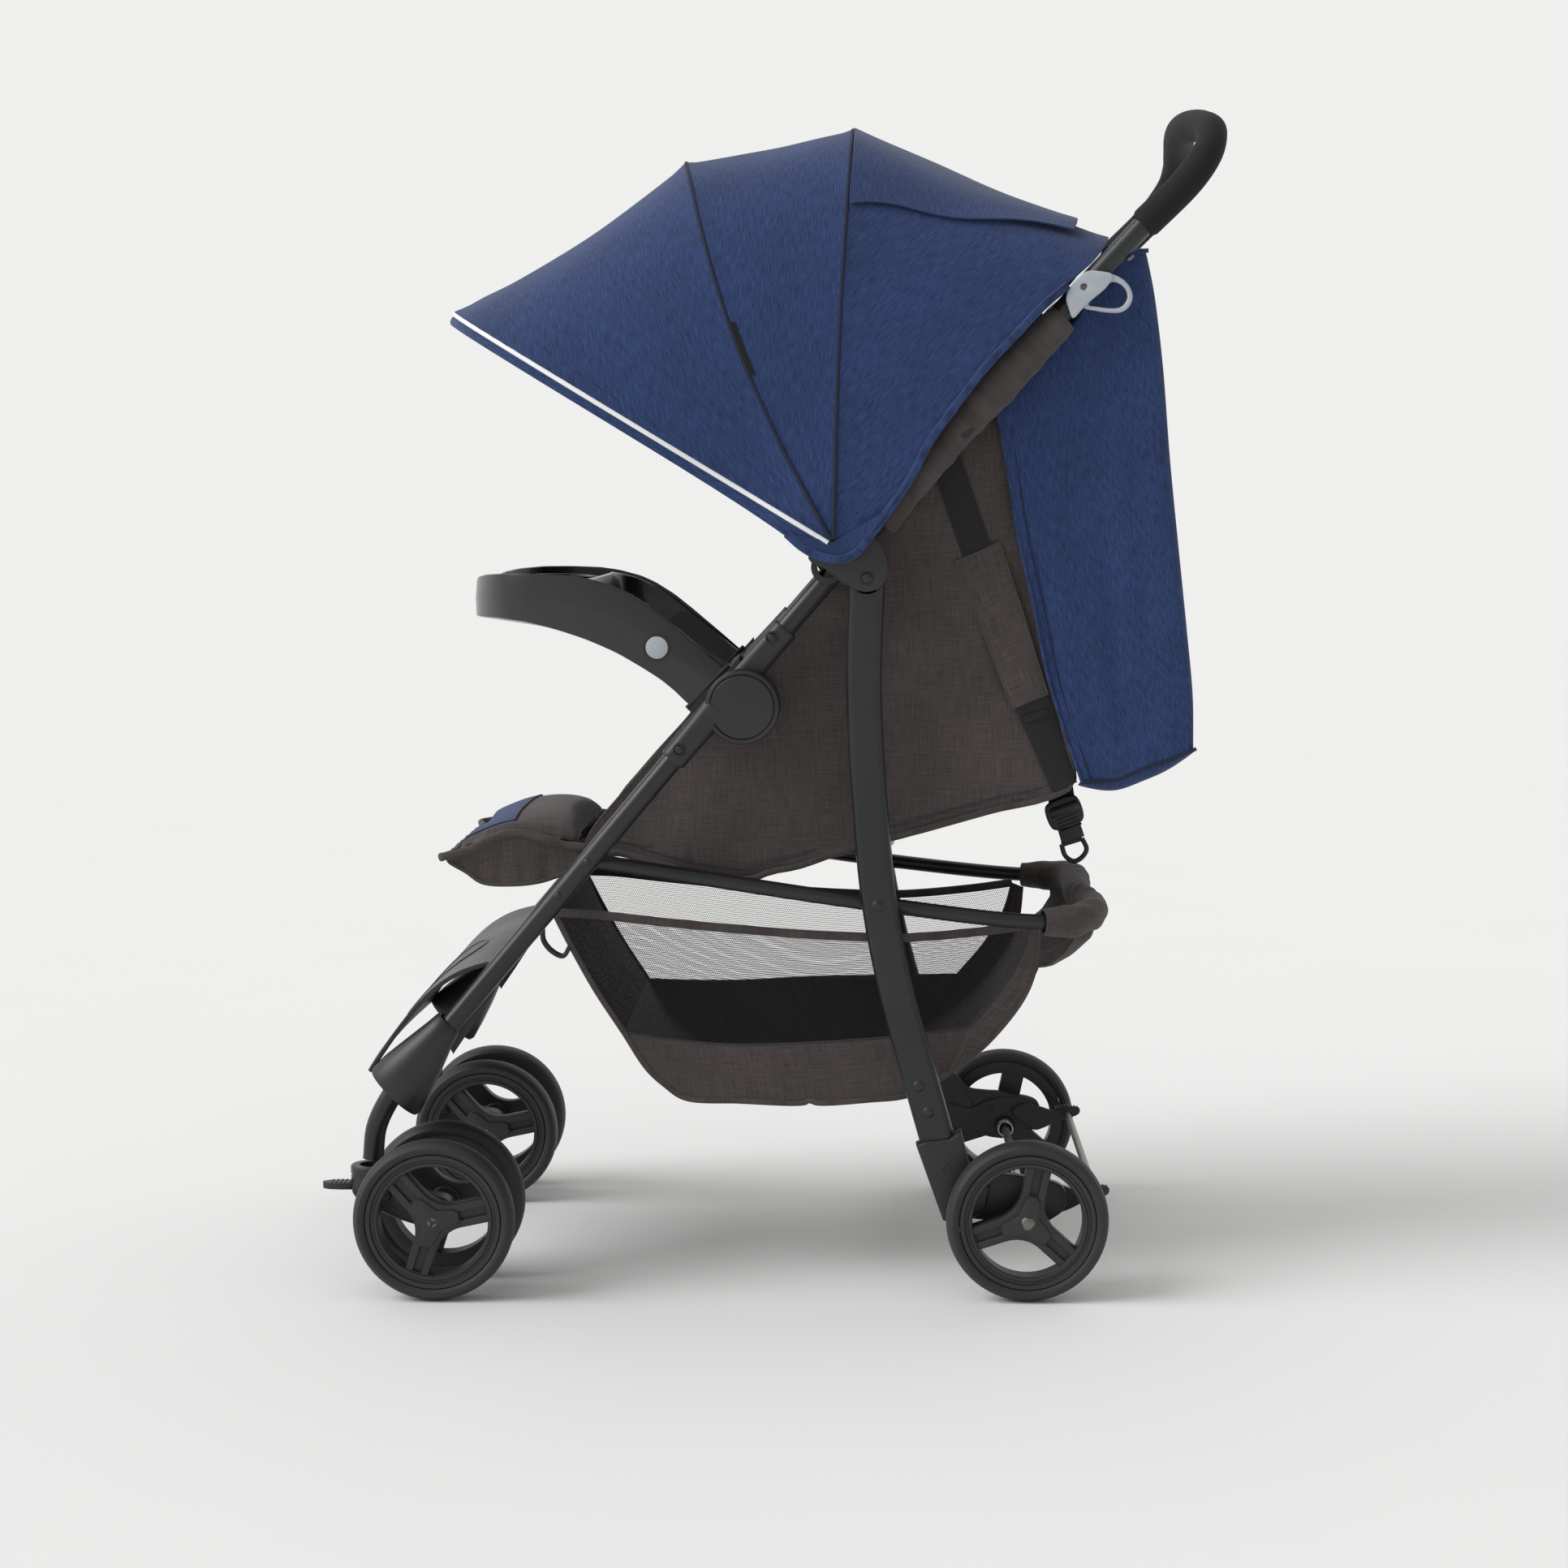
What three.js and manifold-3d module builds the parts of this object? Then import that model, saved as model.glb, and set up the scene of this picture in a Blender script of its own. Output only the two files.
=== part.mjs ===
// Baby stroller with a folding frame, swivel front wheels, canopy, tray and basket.
// Millimetres, +Z up, child facing -X, left side at -Y. Lengths along X are first
// counted from the rear axle, then the whole stroller is moved so that it is centred.
import * as THREE from 'three';
import { mergeVertices } from 'three/addons/utils/BufferGeometryUtils.js';
import Module from 'manifold-3d';

const wasm = await Module();
wasm.setup();

// ---- driving dimensions ----
const CENTRE_SHIFT = 232.35;
const GAP = 0.4;
const TUBE_R = 9.5;
const FRONT_TUBE_Y = 195;
const HANDLE_Y = 174;
const FRONT_SLOPE = THREE.MathUtils.degToRad(50);
const HANDLE_SLOPE = THREE.MathUtils.degToRad(48.4);
const HUB = { x: -256, z: 532, r: 33.5, innerY: 164, splitY: 185, outerY: 207 };
const HUB_CAP = { r: 28.4, innerY: 204.4, outerY: 208.5 };
const RAIL_PIVOT = { x: -396.7, z: 390.7 };
const LEG_PIVOT = { x: -145, z: 647 };
const CANOPY_PIVOT = { x: -175, z: 676 };
const WHEEL = {
  r: 73, rimR: 61.2, windowR: 49, spokeRoot: 22, halfSpoke: 0.3,
  width: 28, rimWidth: 22, hubR: 13, boreR: 4.3,
};
const AXLE_R = 4;
const REAR_WHEEL_Y = 225;
const FRONT_AXLE_X = -532;
const CASTER_X = -593;
const CASTER_Y = 192;
const TWIN_HALF = 41.5;
const LEG_Y = { in: 188, out: 203 };
const LEG_WIDTH = 32;
const WING_Y = 156;
const RAIL_Y = 171;
const RAIL_R = 7;
const TRAY_HALF = 186;
const CLOTH = 4;
const FAR_R = 60;
const FAR_Y = 240;

// ---- materials ----
function look(color, roughness, metalness = 0) {
  return new THREE.MeshStandardMaterial({ color, roughness, metalness });
}
const FRAME = () => look(0x2b2d30, 0.45, 0.5);
const PLASTIC = () => look(0x26282a, 0.55);
const GREY = () => look(0x9ba2aa, 0.45);
const EVA = () => look(0x2e2f31, 0.8);
const FOAM = () => look(0x1e1e1f, 0.95);
const BLUE = () => look(0x2f4a80, 0.95);
const MELANGE = () => look(0x5d524e, 0.95);
const MESH = () => look(0x1a1a1b, 0.95);
const STEEL = () => look(0x8a8d90, 0.35, 0.9);

// ---- shape helpers ----
function v3(x, y, z) {
  return new THREE.Vector3(x, y, z);
}

function signedVolume(geometry) {
  const p = geometry.attributes.position;
  const index = geometry.index;
  const a = new THREE.Vector3();
  const b = new THREE.Vector3();
  const c = new THREE.Vector3();
  let sum = 0;
  for (let i = 0; i < index.count; i += 3) {
    a.fromBufferAttribute(p, index.getX(i));
    b.fromBufferAttribute(p, index.getX(i + 1));
    c.fromBufferAttribute(p, index.getX(i + 2));
    sum += a.dot(b.cross(c));
  }
  return sum / 6;
}

// One shared vertex per corner, with the faces turned outward.
function sealed(source) {
  const geometry = source.clone();
  geometry.deleteAttribute('normal');
  geometry.deleteAttribute('uv');
  const merged = mergeVertices(geometry, 1e-3);
  if (signedVolume(merged) < 0) {
    const order = merged.index.array;
    for (let i = 0; i < order.length; i += 3) {
      const kept = order[i];
      order[i] = order[i + 1];
      order[i + 1] = kept;
    }
  }
  return merged;
}

function solid(geometry) {
  const g = sealed(geometry);
  return new wasm.Manifold(new wasm.Mesh({
    numProp: 3,
    vertProperties: new Float32Array(g.attributes.position.array),
    triVerts: new Uint32Array(g.index.array),
  }));
}

function geometryOf(body) {
  const mesh = body.getMesh();
  const geometry = new THREE.BufferGeometry();
  geometry.setAttribute('position', new THREE.BufferAttribute(new Float32Array(mesh.vertProperties), 3));
  geometry.setIndex(new THREE.BufferAttribute(new Uint32Array(mesh.triVerts), 1));
  return geometry;
}

function join(first, ...rest) {
  return geometryOf(rest.reduce((sum, g) => sum.add(solid(g)), solid(first)));
}

function cut(first, ...rest) {
  return geometryOf(rest.reduce((sum, g) => sum.subtract(solid(g)), solid(first)));
}

function common(first, second) {
  return geometryOf(solid(first).intersect(solid(second)));
}

function rod(a, b, radius, segments = 20) {
  const way = b.clone().sub(a);
  const geometry = new THREE.CylinderGeometry(radius, radius, way.length(), segments);
  geometry.applyQuaternion(new THREE.Quaternion().setFromUnitVectors(v3(0, 1, 0), way.normalize()));
  const middle = a.clone().add(b).multiplyScalar(0.5);
  return geometry.translate(middle.x, middle.y, middle.z);
}

function rodY(x, z, y0, y1, radius, segments = 20) {
  return rod(v3(x, y0, z), v3(x, y1, z), radius, segments);
}

// Outline in the X-Z plane, extruded between two Y positions.
function plate(shape, ya, yb) {
  const depth = Math.abs(yb - ya);
  const geometry = new THREE.ExtrudeGeometry(shape, { depth, bevelEnabled: false, curveSegments: 8 });
  return geometry.rotateX(Math.PI / 2).translate(0, Math.max(ya, yb), 0);
}

// Outline in the X-Y plane, extruded between two heights.
function slab(shape, z0, z1) {
  const how = { depth: z1 - z0, bevelEnabled: false, curveSegments: 8 };
  const geometry = new THREE.ExtrudeGeometry(shape, how);
  return geometry.translate(0, 0, z0);
}

// Outlines always run counter-clockwise, so that holes in them are cut the right way round.
function outline(points) {
  const corners = points.map(([x, z]) => new THREE.Vector2(x, z));
  return new THREE.Shape(THREE.ShapeUtils.isClockWise(corners) ? corners.reverse() : corners);
}

function smoothOutline(points, count) {
  const curve = new THREE.CatmullRomCurve3(points.map(([x, z]) => v3(x, z, 0)), true, 'centripetal');
  return new THREE.Shape(curve.getPoints(count).slice(0, count).map((p) => new THREE.Vector2(p.x, p.y)));
}

function swept(shape, points, steps) {
  const path = new THREE.CatmullRomCurve3(points, false, 'centripetal');
  const how = { steps, extrudePath: path, bevelEnabled: false, curveSegments: 4 };
  return new THREE.ExtrudeGeometry(shape, how);
}

function ringShape(radius, sides) {
  const points = [];
  for (let i = 0; i < sides; i += 1) {
    const a = (2 * Math.PI * i) / sides;
    points.push([radius * Math.cos(a), radius * Math.sin(a)]);
  }
  return outline(points);
}

// Grid of a box moved point by point: u, v in 0..1 over the sheet, w = 0 inside and 1 outside.
function sheet(nu, nv, place) {
  const geometry = new THREE.BoxGeometry(1, 1, 1, nu, nv, 1);
  const p = geometry.attributes.position;
  for (let i = 0; i < p.count; i += 1) {
    const q = place(p.getX(i) + 0.5, p.getY(i) + 0.5, p.getZ(i) + 0.5);
    p.setXYZ(i, q.x, q.y, q.z);
  }
  return geometry;
}

// Point at a distance along a sloped tube line and off it (positive off = up and forward).
function onSlope(origin, slope, along, off) {
  return {
    x: origin.x + along * Math.cos(slope) - off * Math.sin(slope),
    z: origin.z + along * Math.sin(slope) + off * Math.cos(slope),
  };
}

const nodes = new THREE.Group();
nodes.position.x = CENTRE_SHIFT;
function add(name, geometry, material) {
  const mesh = new THREE.Mesh(sealed(geometry), material);
  mesh.name = name;
  nodes.add(mesh);
}

const SIDES = [['left', -1], ['right', 1]];
const HUB_OFFSET = 17;
const HUB_PLAY = 0.3;
const SLEEVE = { start: 22, end: 77, r: 12 };
const frontTop = onSlope(HUB, FRONT_SLOPE, -40, HUB_OFFSET);
const handleFoot = onSlope(HUB, HANDLE_SLOPE, 40, HUB_OFFSET);

// ---- front frame ----
const FOOT = { bendX: -571, bendZ: 184, endZ: 119 };
function frontTubePath(side) {
  const y = side * FRONT_TUBE_Y;
  return [
    v3(frontTop.x, y, frontTop.z),
    v3(RAIL_PIVOT.x, y, RAIL_PIVOT.z),
    v3(-480, y, 291.5),
    v3(-548, y, 211),
    v3(FOOT.bendX, side * CASTER_Y, FOOT.bendZ),
    v3(CASTER_X + 4, side * CASTER_Y, 150),
    v3(CASTER_X, side * CASTER_Y, FOOT.endZ),
  ];
}

function hubHalf(side, slope, direction, y, discFrom, discTo) {
  const a = onSlope(HUB, slope, direction * SLEEVE.start, HUB_OFFSET);
  const b = onSlope(HUB, slope, direction * SLEEVE.end, HUB_OFFSET);
  const disc = rodY(HUB.x, HUB.z, side * discFrom, side * discTo, HUB.r, 36);
  return [disc, rod(v3(a.x, side * y, a.z), v3(b.x, side * y, b.z), SLEEVE.r)];
}

for (const [label, side] of SIDES) {
  const path = frontTubePath(side);
  add(`front_tube_${label}`, swept(ringShape(TUBE_R, 12), path, 20), FRAME());
  const clear = swept(ringShape(TUBE_R + GAP, 12), path, 20);
  const [disc, sleeve] = hubHalf(side, FRONT_SLOPE, -1, FRONT_TUBE_Y, HUB.splitY + HUB_PLAY, HUB.outerY);
  const capSeat = rodY(HUB.x, HUB.z, side * (HUB_CAP.innerY - GAP), side * FAR_Y, HUB_CAP.r + GAP, 36);
  const innerHalf = rodY(HUB.x, HUB.z, side * WING_Y, side * (HUB.splitY + HUB_PLAY), FAR_R, 24);
  add(`lower_hub_${label}`, cut(join(disc, sleeve), clear, capSeat, innerHalf), PLASTIC());
  const cap = rodY(HUB.x, HUB.z, side * HUB_CAP.innerY, side * HUB_CAP.outerY, HUB_CAP.r, 36);
  add(`hub_cap_${label}`, cap, PLASTIC());
}
const CROSS = { x: -423.4, z: 359.7, r: 7 };
const crossEnd = FRONT_TUBE_Y - TUBE_R - GAP;
add('front_cross_tube', rodY(CROSS.x, CROSS.z, -crossEnd, crossEnd, CROSS.r), FRAME());

// The step rises from its front lip in a shallow arch between two cone-shaped boots round the tubes.
const STEP = { x: -597, z: 200, run: 122, rise: 102, arch: 26, skinX: 3.5, skinZ: 5 };
const BOOT = { topX: -526, topZ: 240, topR: 13, lowX: -574, lowZ: 178, lowR: 27 };
function footrest() {
  const step = [];
  const inner = [];
  const STEPS = 8;
  for (let i = 0; i <= STEPS; i += 1) {
    const t = i / STEPS;
    const x = STEP.x + STEP.run * t;
    const z = STEP.z + STEP.rise * t + STEP.arch * Math.sin(Math.PI * t);
    step.push([x, z]);
    inner.unshift([x + STEP.skinX, z - STEP.skinZ]);
  }
  const parts = [plate(outline([...step, ...inner]), -FRONT_TUBE_Y, FRONT_TUBE_Y)];
  const clear = [];
  for (const [, side] of SIDES) {
    const top = v3(BOOT.topX, side * FRONT_TUBE_Y, BOOT.topZ);
    const low = v3(BOOT.lowX, side * CASTER_Y, BOOT.lowZ);
    const way = low.clone().sub(top);
    const cone = new THREE.CylinderGeometry(BOOT.topR, BOOT.lowR, way.length(), 24);
    cone.applyQuaternion(new THREE.Quaternion().setFromUnitVectors(v3(0, -1, 0), way.normalize()));
    const middle = top.clone().add(low).multiplyScalar(0.5);
    parts.push(cone.translate(middle.x, middle.y, middle.z));
    clear.push(swept(ringShape(TUBE_R + GAP, 12), frontTubePath(side), 20));
  }
  return cut(join(...parts), ...clear);
}
add('footrest', footrest(), PLASTIC());

// ---- handle ----
const FOAM_R = 14.2;
const GRIP = { x: 98, z: 957 };
function gripPath() {
  const half = [
    [GRIP.x, HANDLE_Y, GRIP.z], [139, HANDLE_Y, 998], [156, 166, 1023],
    [161, 146, 1041], [158, 105, 1052], [153, 50, 1059],
  ];
  const left = half.map(([x, y, z]) => v3(x, -y, z));
  const right = half.map(([x, y, z]) => v3(x, y, z)).reverse();
  return [...left, v3(151, 0, 1061), ...right];
}
function handlePath() {
  const ends = [-1, 1].map((side) => v3(handleFoot.x, side * HANDLE_Y, handleFoot.z));
  const mids = [-1, 1].map((side) => v3(-80, side * HANDLE_Y, 760.5));
  return [ends[0], mids[0], ...gripPath(), mids[1], ends[1]];
}
const handleTube = swept(ringShape(TUBE_R, 12), handlePath(), 46);
const handleClear = swept(ringShape(TUBE_R + GAP, 12), handlePath(), 46);
add('push_handle', handleTube, FRAME());
add('handle_foam', cut(swept(ringShape(FOAM_R, 12), gripPath(), 26), handleClear), FOAM());

const BRACKET = { innerY: 186, outerY: 208, bossR: 19, roomR: 34 };
const SADDLE = { x: -180, z: 656, innerY: 160, outerY: 190, r: 15 };
for (const [label, side] of SIDES) {
  const [disc, sleeve] = hubHalf(side, HANDLE_SLOPE, 1, HANDLE_Y, HUB.innerY, HUB.splitY - HUB_PLAY);
  const outerHalf = rodY(HUB.x, HUB.z, side * (HUB.splitY - HUB_PLAY), side * FAR_Y, FAR_R, 24);
  add(`upper_hub_${label}`, cut(join(disc, sleeve), handleClear, outerHalf), PLASTIC());
  const web = outline([
    [-197, 662], [-168, 700], [-146, 692], [-128, 664], [-128, 640], [-147, 630], [-163, 633],
  ]);
  const plateY = [side * BRACKET.innerY, side * BRACKET.outerY];
  const onPivot = (y0, y1, r) => rodY(LEG_PIVOT.x, LEG_PIVOT.z, side * y0, side * y1, r, 28);
  const boss = onPivot(LEG_Y.out + 0.5, BRACKET.outerY, BRACKET.bossR);
  const legRoom = onPivot(LEG_Y.in - GAP, LEG_Y.out + GAP, BRACKET.roomR);
  const block = join(plate(web, ...plateY), boss);
  const saddle = rodY(SADDLE.x, SADDLE.z, side * SADDLE.innerY, side * SADDLE.outerY, SADDLE.r);
  add(`leg_bracket_${label}`, cut(join(cut(block, legRoom), saddle), handleClear), PLASTIC());
}

// ---- fold pulls: a clip round the tube with a finger loop behind it ----
const PULL = { outer: 15, inner: -11, loop: 4 };
function foldPull(side) {
  const body = outline([[30, 874], [36, 898], [58, 917], [74, 915], [64, 900], [47, 883]]);
  const loop = outline([[44, 884], [62, 906], [76, 914], [90, 900], [88, 884], [72, 880]]);
  loop.holes.push(outline([[54, 887], [66, 903], [76, 907], [84, 898], [82, 888], [70, 885]]));
  const y = [side * (HANDLE_Y + PULL.outer), side * (HANDLE_Y + PULL.inner)];
  const loopY = [side * (HANDLE_Y + PULL.loop), side * (HANDLE_Y - PULL.loop)];
  return cut(join(plate(body, ...y), plate(loop, ...loopY)), handleClear);
}
for (const [label, side] of SIDES) {
  add(`fold_pull_${label}`, foldPull(side), GREY());
}

// ---- rear legs ----
const LEG_CURVE = [
  [LEG_PIVOT.x, LEG_PIVOT.z], [-147.5, 548], [-141.5, 439], [-133, 354], [-118, 277], [-99, 207], [-80, 140],
];
function legBand(from, to, width) {
  const curve = new THREE.CatmullRomCurve3(LEG_CURVE.map(([x, z]) => v3(x, z, 0)), false, 'centripetal');
  const one = [];
  const two = [];
  const STEPS = 14;
  for (let i = 0; i <= STEPS; i += 1) {
    const t = from + ((to - from) * i) / STEPS;
    const p = curve.getPoint(t);
    const d = curve.getTangent(t);
    one.push([p.x - (d.y * width) / 2, p.y + (d.x * width) / 2]);
    two.unshift([p.x + (d.y * width) / 2, p.y - (d.x * width) / 2]);
  }
  return outline([...one, ...two]);
}
const HOUSING_Y = { in: 183, out: 208 };
const PEDAL_PIVOT = { x: 22, z: 83, roomR: 30, roomY: 187.6 };
for (const [label, side] of SIDES) {
  const y = [side * LEG_Y.in, side * LEG_Y.out];
  const head = rodY(LEG_PIVOT.x, LEG_PIVOT.z, ...y, LEG_WIDTH / 2, 24);
  const leg = join(plate(legBand(0, 1, LEG_WIDTH), ...y), head);
  add(`rear_leg_${label}`, leg, FRAME());
  const boot = outline([
    [-100, 137], [-59, 150], [-50, 118], [-15, 108], [18, 103], [36, 92], [34, 72],
    [12, 58], [-12, 58], [-40, 74], [-70, 64],
  ]);
  const socketBand = legBand(0, 1, LEG_WIDTH + 2 * GAP);
  const legSocket = plate(socketBand, side * (LEG_Y.in - GAP), side * (LEG_Y.out + GAP));
  const axleBore = rodY(0, WHEEL.r, side * WING_Y, side * FAR_Y, AXLE_R + GAP);
  const roomY = [side * WING_Y, side * PEDAL_PIVOT.roomY];
  const pedalRoom = rodY(PEDAL_PIVOT.x, PEDAL_PIVOT.z, ...roomY, PEDAL_PIVOT.roomR, 24);
  const housing = cut(plate(boot, side * HOUSING_Y.in, side * HOUSING_Y.out), legSocket, axleBore, pedalRoom);
  add(`rear_housing_${label}`, housing, PLASTIC());
}
const AXLE_HALF = 240;
add('rear_axle', rodY(0, WHEEL.r, -AXLE_HALF, AXLE_HALF, AXLE_R), STEEL());

const PEDAL_Y = { in: 176, out: 187 };
const PEDAL_ROD = { x: 64, z: 87, half: 180, r: 3.6 };
function brakePedals() {
  const lever = outline([
    [8, 92], [22, 97], [50, 91], [74, 95], [77, 89], [60, 78], [32, 70], [16, 80], [8, 84],
  ]);
  const levers = SIDES.map(([, side]) => plate(lever, side * PEDAL_Y.in, side * PEDAL_Y.out));
  const link = rodY(PEDAL_ROD.x, PEDAL_ROD.z, -PEDAL_ROD.half, PEDAL_ROD.half, PEDAL_ROD.r, 14);
  return join(levers[0], levers[1], link);
}
add('brake_pedals', cut(brakePedals(), rodY(0, WHEEL.r, -AXLE_HALF, AXLE_HALF, AXLE_R + 3)), PLASTIC());

// ---- wheels ----
function tyre() {
  const w = WHEEL.width / 2;
  const inner = WHEEL.rimR + GAP;
  const profile = [
    [inner, -w + 2], [WHEEL.r - 5, -w], [WHEEL.r - 1.2, -w + 5], [WHEEL.r, 0],
    [WHEEL.r - 1.2, w - 5], [WHEEL.r - 5, w], [inner, w - 2], [inner, -w + 2],
  ];
  return new THREE.LatheGeometry(profile.map(([r, y]) => new THREE.Vector2(r, y)), 32);
}

function rim(turn) {
  const SPOKES = 3;
  const CORNERS = 7;
  const disc = ringShape(WHEEL.rimR, 32);
  for (let k = 0; k < SPOKES; k += 1) {
    const from = turn + (2 * Math.PI * k) / SPOKES + WHEEL.halfSpoke;
    const to = turn + (2 * Math.PI * (k + 1)) / SPOKES - WHEEL.halfSpoke;
    const points = [];
    for (let i = 0; i < CORNERS; i += 1) {
      const a = from + ((to - from) * i) / (CORNERS - 1);
      points.push([WHEEL.windowR * Math.cos(a), WHEEL.windowR * Math.sin(a)]);
    }
    const middle = (from + to) / 2;
    points.push([WHEEL.spokeRoot * Math.cos(middle), WHEEL.spokeRoot * Math.sin(middle)]);
    disc.holes.push(outline(points));
  }
  const w = WHEEL.rimWidth / 2;
  const hub = rodY(0, 0, -w, w, WHEEL.hubR, 24);
  const bore = rodY(0, 0, -WHEEL.width, WHEEL.width, WHEEL.boreR);
  return cut(join(plate(disc, -w, w), hub), bore);
}

function wheel(name, x, y, turn) {
  add(`${name}_tyre`, tyre().translate(x, y, WHEEL.r), EVA());
  add(`${name}_rim`, rim(turn).translate(x, y, WHEEL.r), PLASTIC());
}
const REAR_TURN = THREE.MathUtils.degToRad(78);
const FRONT_TURN = THREE.MathUtils.degToRad(132);
for (const [label, side] of SIDES) {
  wheel(`rear_${label}`, 0, side * REAR_WHEEL_Y, REAR_TURN);
  wheel(`front_${label}_outer`, FRONT_AXLE_X, side * (CASTER_Y + TWIN_HALF), FRONT_TURN);
  wheel(`front_${label}_inner`, FRONT_AXLE_X, side * (CASTER_Y - TWIN_HALF), FRONT_TURN);
}

// ---- casters ----
const COLLAR = { low: 90, high: 114, r: 20, stemFrom: 106 };
const ARM_HALF = 14;
const FRONT_AXLE_HALF = 56;
const LOCK = { half: 9, room: [30, 20, 9], x: -622, z: 95 };
for (const [label, side] of SIDES) {
  const y = side * CASTER_Y;
  const arm = outline([
    [-612, 90], [-606, 104], [-572, 104], [-545, 92], [-520, 82], [-520, 64], [-545, 58], [-590, 74],
  ]);
  const collar = rod(v3(CASTER_X, y, COLLAR.low), v3(CASTER_X, y, COLLAR.high), COLLAR.r, 28);
  const stemRoom = rod(v3(CASTER_X, y, COLLAR.stemFrom), v3(CASTER_X, y, FOOT.bendZ), TUBE_R + 2);
  const axle = rodY(FRONT_AXLE_X, WHEEL.r, y - FRONT_AXLE_HALF, y + FRONT_AXLE_HALF, AXLE_R);
  const body = join(plate(arm, y - ARM_HALF, y + ARM_HALF), collar, axle);
  const lockRoom = new THREE.BoxGeometry(...LOCK.room).translate(LOCK.x, y, LOCK.z);
  add(`caster_${label}`, cut(body, stemRoom, lockRoom), PLASTIC());
  const tab = outline([[-640, 94], [-636, 98], [-607.6, 98], [-607.6, 92], [-630, 91]]);
  add(`swivel_lock_${label}`, plate(tab, y - LOCK.half, y + LOCK.half), PLASTIC());
}

// ---- basket rail ----
const RAIL_REAR = { x: 58, z: 340, cornerY: 150 };
function railPath() {
  const knots = [[RAIL_PIVOT.x, RAIL_PIVOT.z], [-130, 351], [18, 336]];
  const side = (s) => knots.map(([x, z]) => v3(x, s * RAIL_Y, z));
  const corner = (s) => v3(RAIL_REAR.x, s * RAIL_REAR.cornerY, RAIL_REAR.z);
  return [...side(-1), corner(-1), v3(RAIL_REAR.x, 0, RAIL_REAR.z), corner(1), ...side(1).reverse()];
}
add('basket_rail', swept(ringShape(RAIL_R, 10), railPath(), 26), FRAME());

// ---- seat ----
function pad(x0, z0, x1, z1, thickness, half) {
  const way = new THREE.Vector2(x1 - x0, z1 - z0);
  const length = way.length();
  const g = new THREE.BoxGeometry(length, 2 * half, thickness);
  return g.rotateY(-way.angle()).translate((x0 + x1) / 2, 0, (z0 + z1) / 2);
}
const PAD = { thickness: 18, half: 150 };
const BACK_HINGE = { x: -124, z: 406, r: 5, half: 146 };
add('seat_pad', pad(-370, 400, -146, 397, PAD.thickness, PAD.half), MELANGE());
const hingeRod = rodY(BACK_HINGE.x, BACK_HINGE.z, -BACK_HINGE.half, BACK_HINGE.half, BACK_HINGE.r);
add('seat_hinge_rod', hingeRod, STEEL());
add('backrest', pad(-115, 427, 58, 830, PAD.thickness, PAD.half), MELANGE());
// The leg rest is a padded board that tilts, with a cloth skirt hanging below its front and sides.
const legBoard = smoothOutline([
  [-536, 388], [-495, 421], [-425, 440], [-390, 436], [-389, 413], [-440, 407], [-500, 393],
], 22);
add('leg_rest', plate(legBoard, -PAD.half, PAD.half), MELANGE());
const skirtOuter = outline([
  [-529, 381], [-500, 388], [-440, 402], [-396, 408], [-394, 396], [-436, 367], [-498, 362], [-520, 371],
]);
const skirtRoom = outline([
  [-516, 390], [-500, 412], [-380, 420], [-380, 340], [-494, 340], [-494, 366], [-514, 376],
]);
const SKIRT_HALF = 149;
const skirtInside = plate(skirtRoom, -SKIRT_HALF + CLOTH, SKIRT_HALF - CLOTH);
const skirt = cut(plate(skirtOuter, -SKIRT_HALF, SKIRT_HALF), skirtInside);
add('leg_rest_skirt', skirt, MELANGE());
const wing = outline([
  [-388, 404], [-250, 567], [-120, 716], [28, 880], [4, 815], [-8, 727], [8, 618], [30, 530], [44, 462],
  [18, 446], [-150, 398], [-246, 380], [-330, 388],
]);
for (const [label, side] of SIDES) {
  add(`side_wing_${label}`, plate(wing, side * (WING_Y - CLOTH), side * WING_Y), MELANGE());
}
add('harness_buckle', new THREE.BoxGeometry(14, 44, 34).translate(-262, 0, 427), PLASTIC());
add('strap_adjuster', new THREE.BoxGeometry(20, 30, 40).translate(31, 0, 424), PLASTIC());
const ring = outline([[24, 398], [42, 398], [46, 384], [39, 375], [28, 377]]);
ring.holes.push(outline([[28.5, 394], [38.5, 394], [41, 385], [37, 379], [30, 381]]));
const D_RING_HALF = 13;
add('d_ring', plate(ring, -D_RING_HALF, D_RING_HALF), PLASTIC());

// ---- canopy ----
const CANOPY_SIDE = 198;
const BOWS = {
  rear: { angle: 48.4, crown: 372, square: 0.28 },
  back: { angle: 87.5, crown: 382, square: 0.55 },
  middle: { angle: 111.5, crown: 378, square: 0.55 },
  front: { angle: 149, crown: 416, square: 0.6 },
};
const BOW_ROOT = 30;
const BOW_R = 2.6;
// Share of the half turn that a bow's ends are cut off at, and how far its side view is squared.
const BOW_START = 0.02;
const SIDE_POWER = 0.8;
function bowPoint(bow, t, inset) {
  const rise = Math.pow(Math.sin(Math.PI * (BOW_START + (1 - 2 * BOW_START) * t)), bow.square);
  const low = Math.pow(Math.sin(Math.PI * BOW_START), bow.square);
  const r = BOW_ROOT + (bow.crown - inset - BOW_ROOT) * ((rise - low) / (1 - low));
  const a = THREE.MathUtils.degToRad(bow.angle);
  const reach = Math.pow(Math.abs(Math.cos(Math.PI * t)), SIDE_POWER);
  const y = -(CANOPY_SIDE - inset) * Math.sign(0.5 - t) * reach;
  return v3(CANOPY_PIVOT.x + r * Math.cos(a), y, CANOPY_PIVOT.z + r * Math.sin(a));
}
function canopyPanel(one, two, margin) {
  return sheet(20, 2, (u, v, w) => {
    const k = margin + (1 - 2 * margin) * v;
    const bow = {
      angle: one.angle + (two.angle - one.angle) * k,
      crown: one.crown + (two.crown - one.crown) * k,
      square: one.square + (two.square - one.square) * k,
    };
    return bowPoint(bow, u, CLOTH * (1 - w));
  });
}
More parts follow.
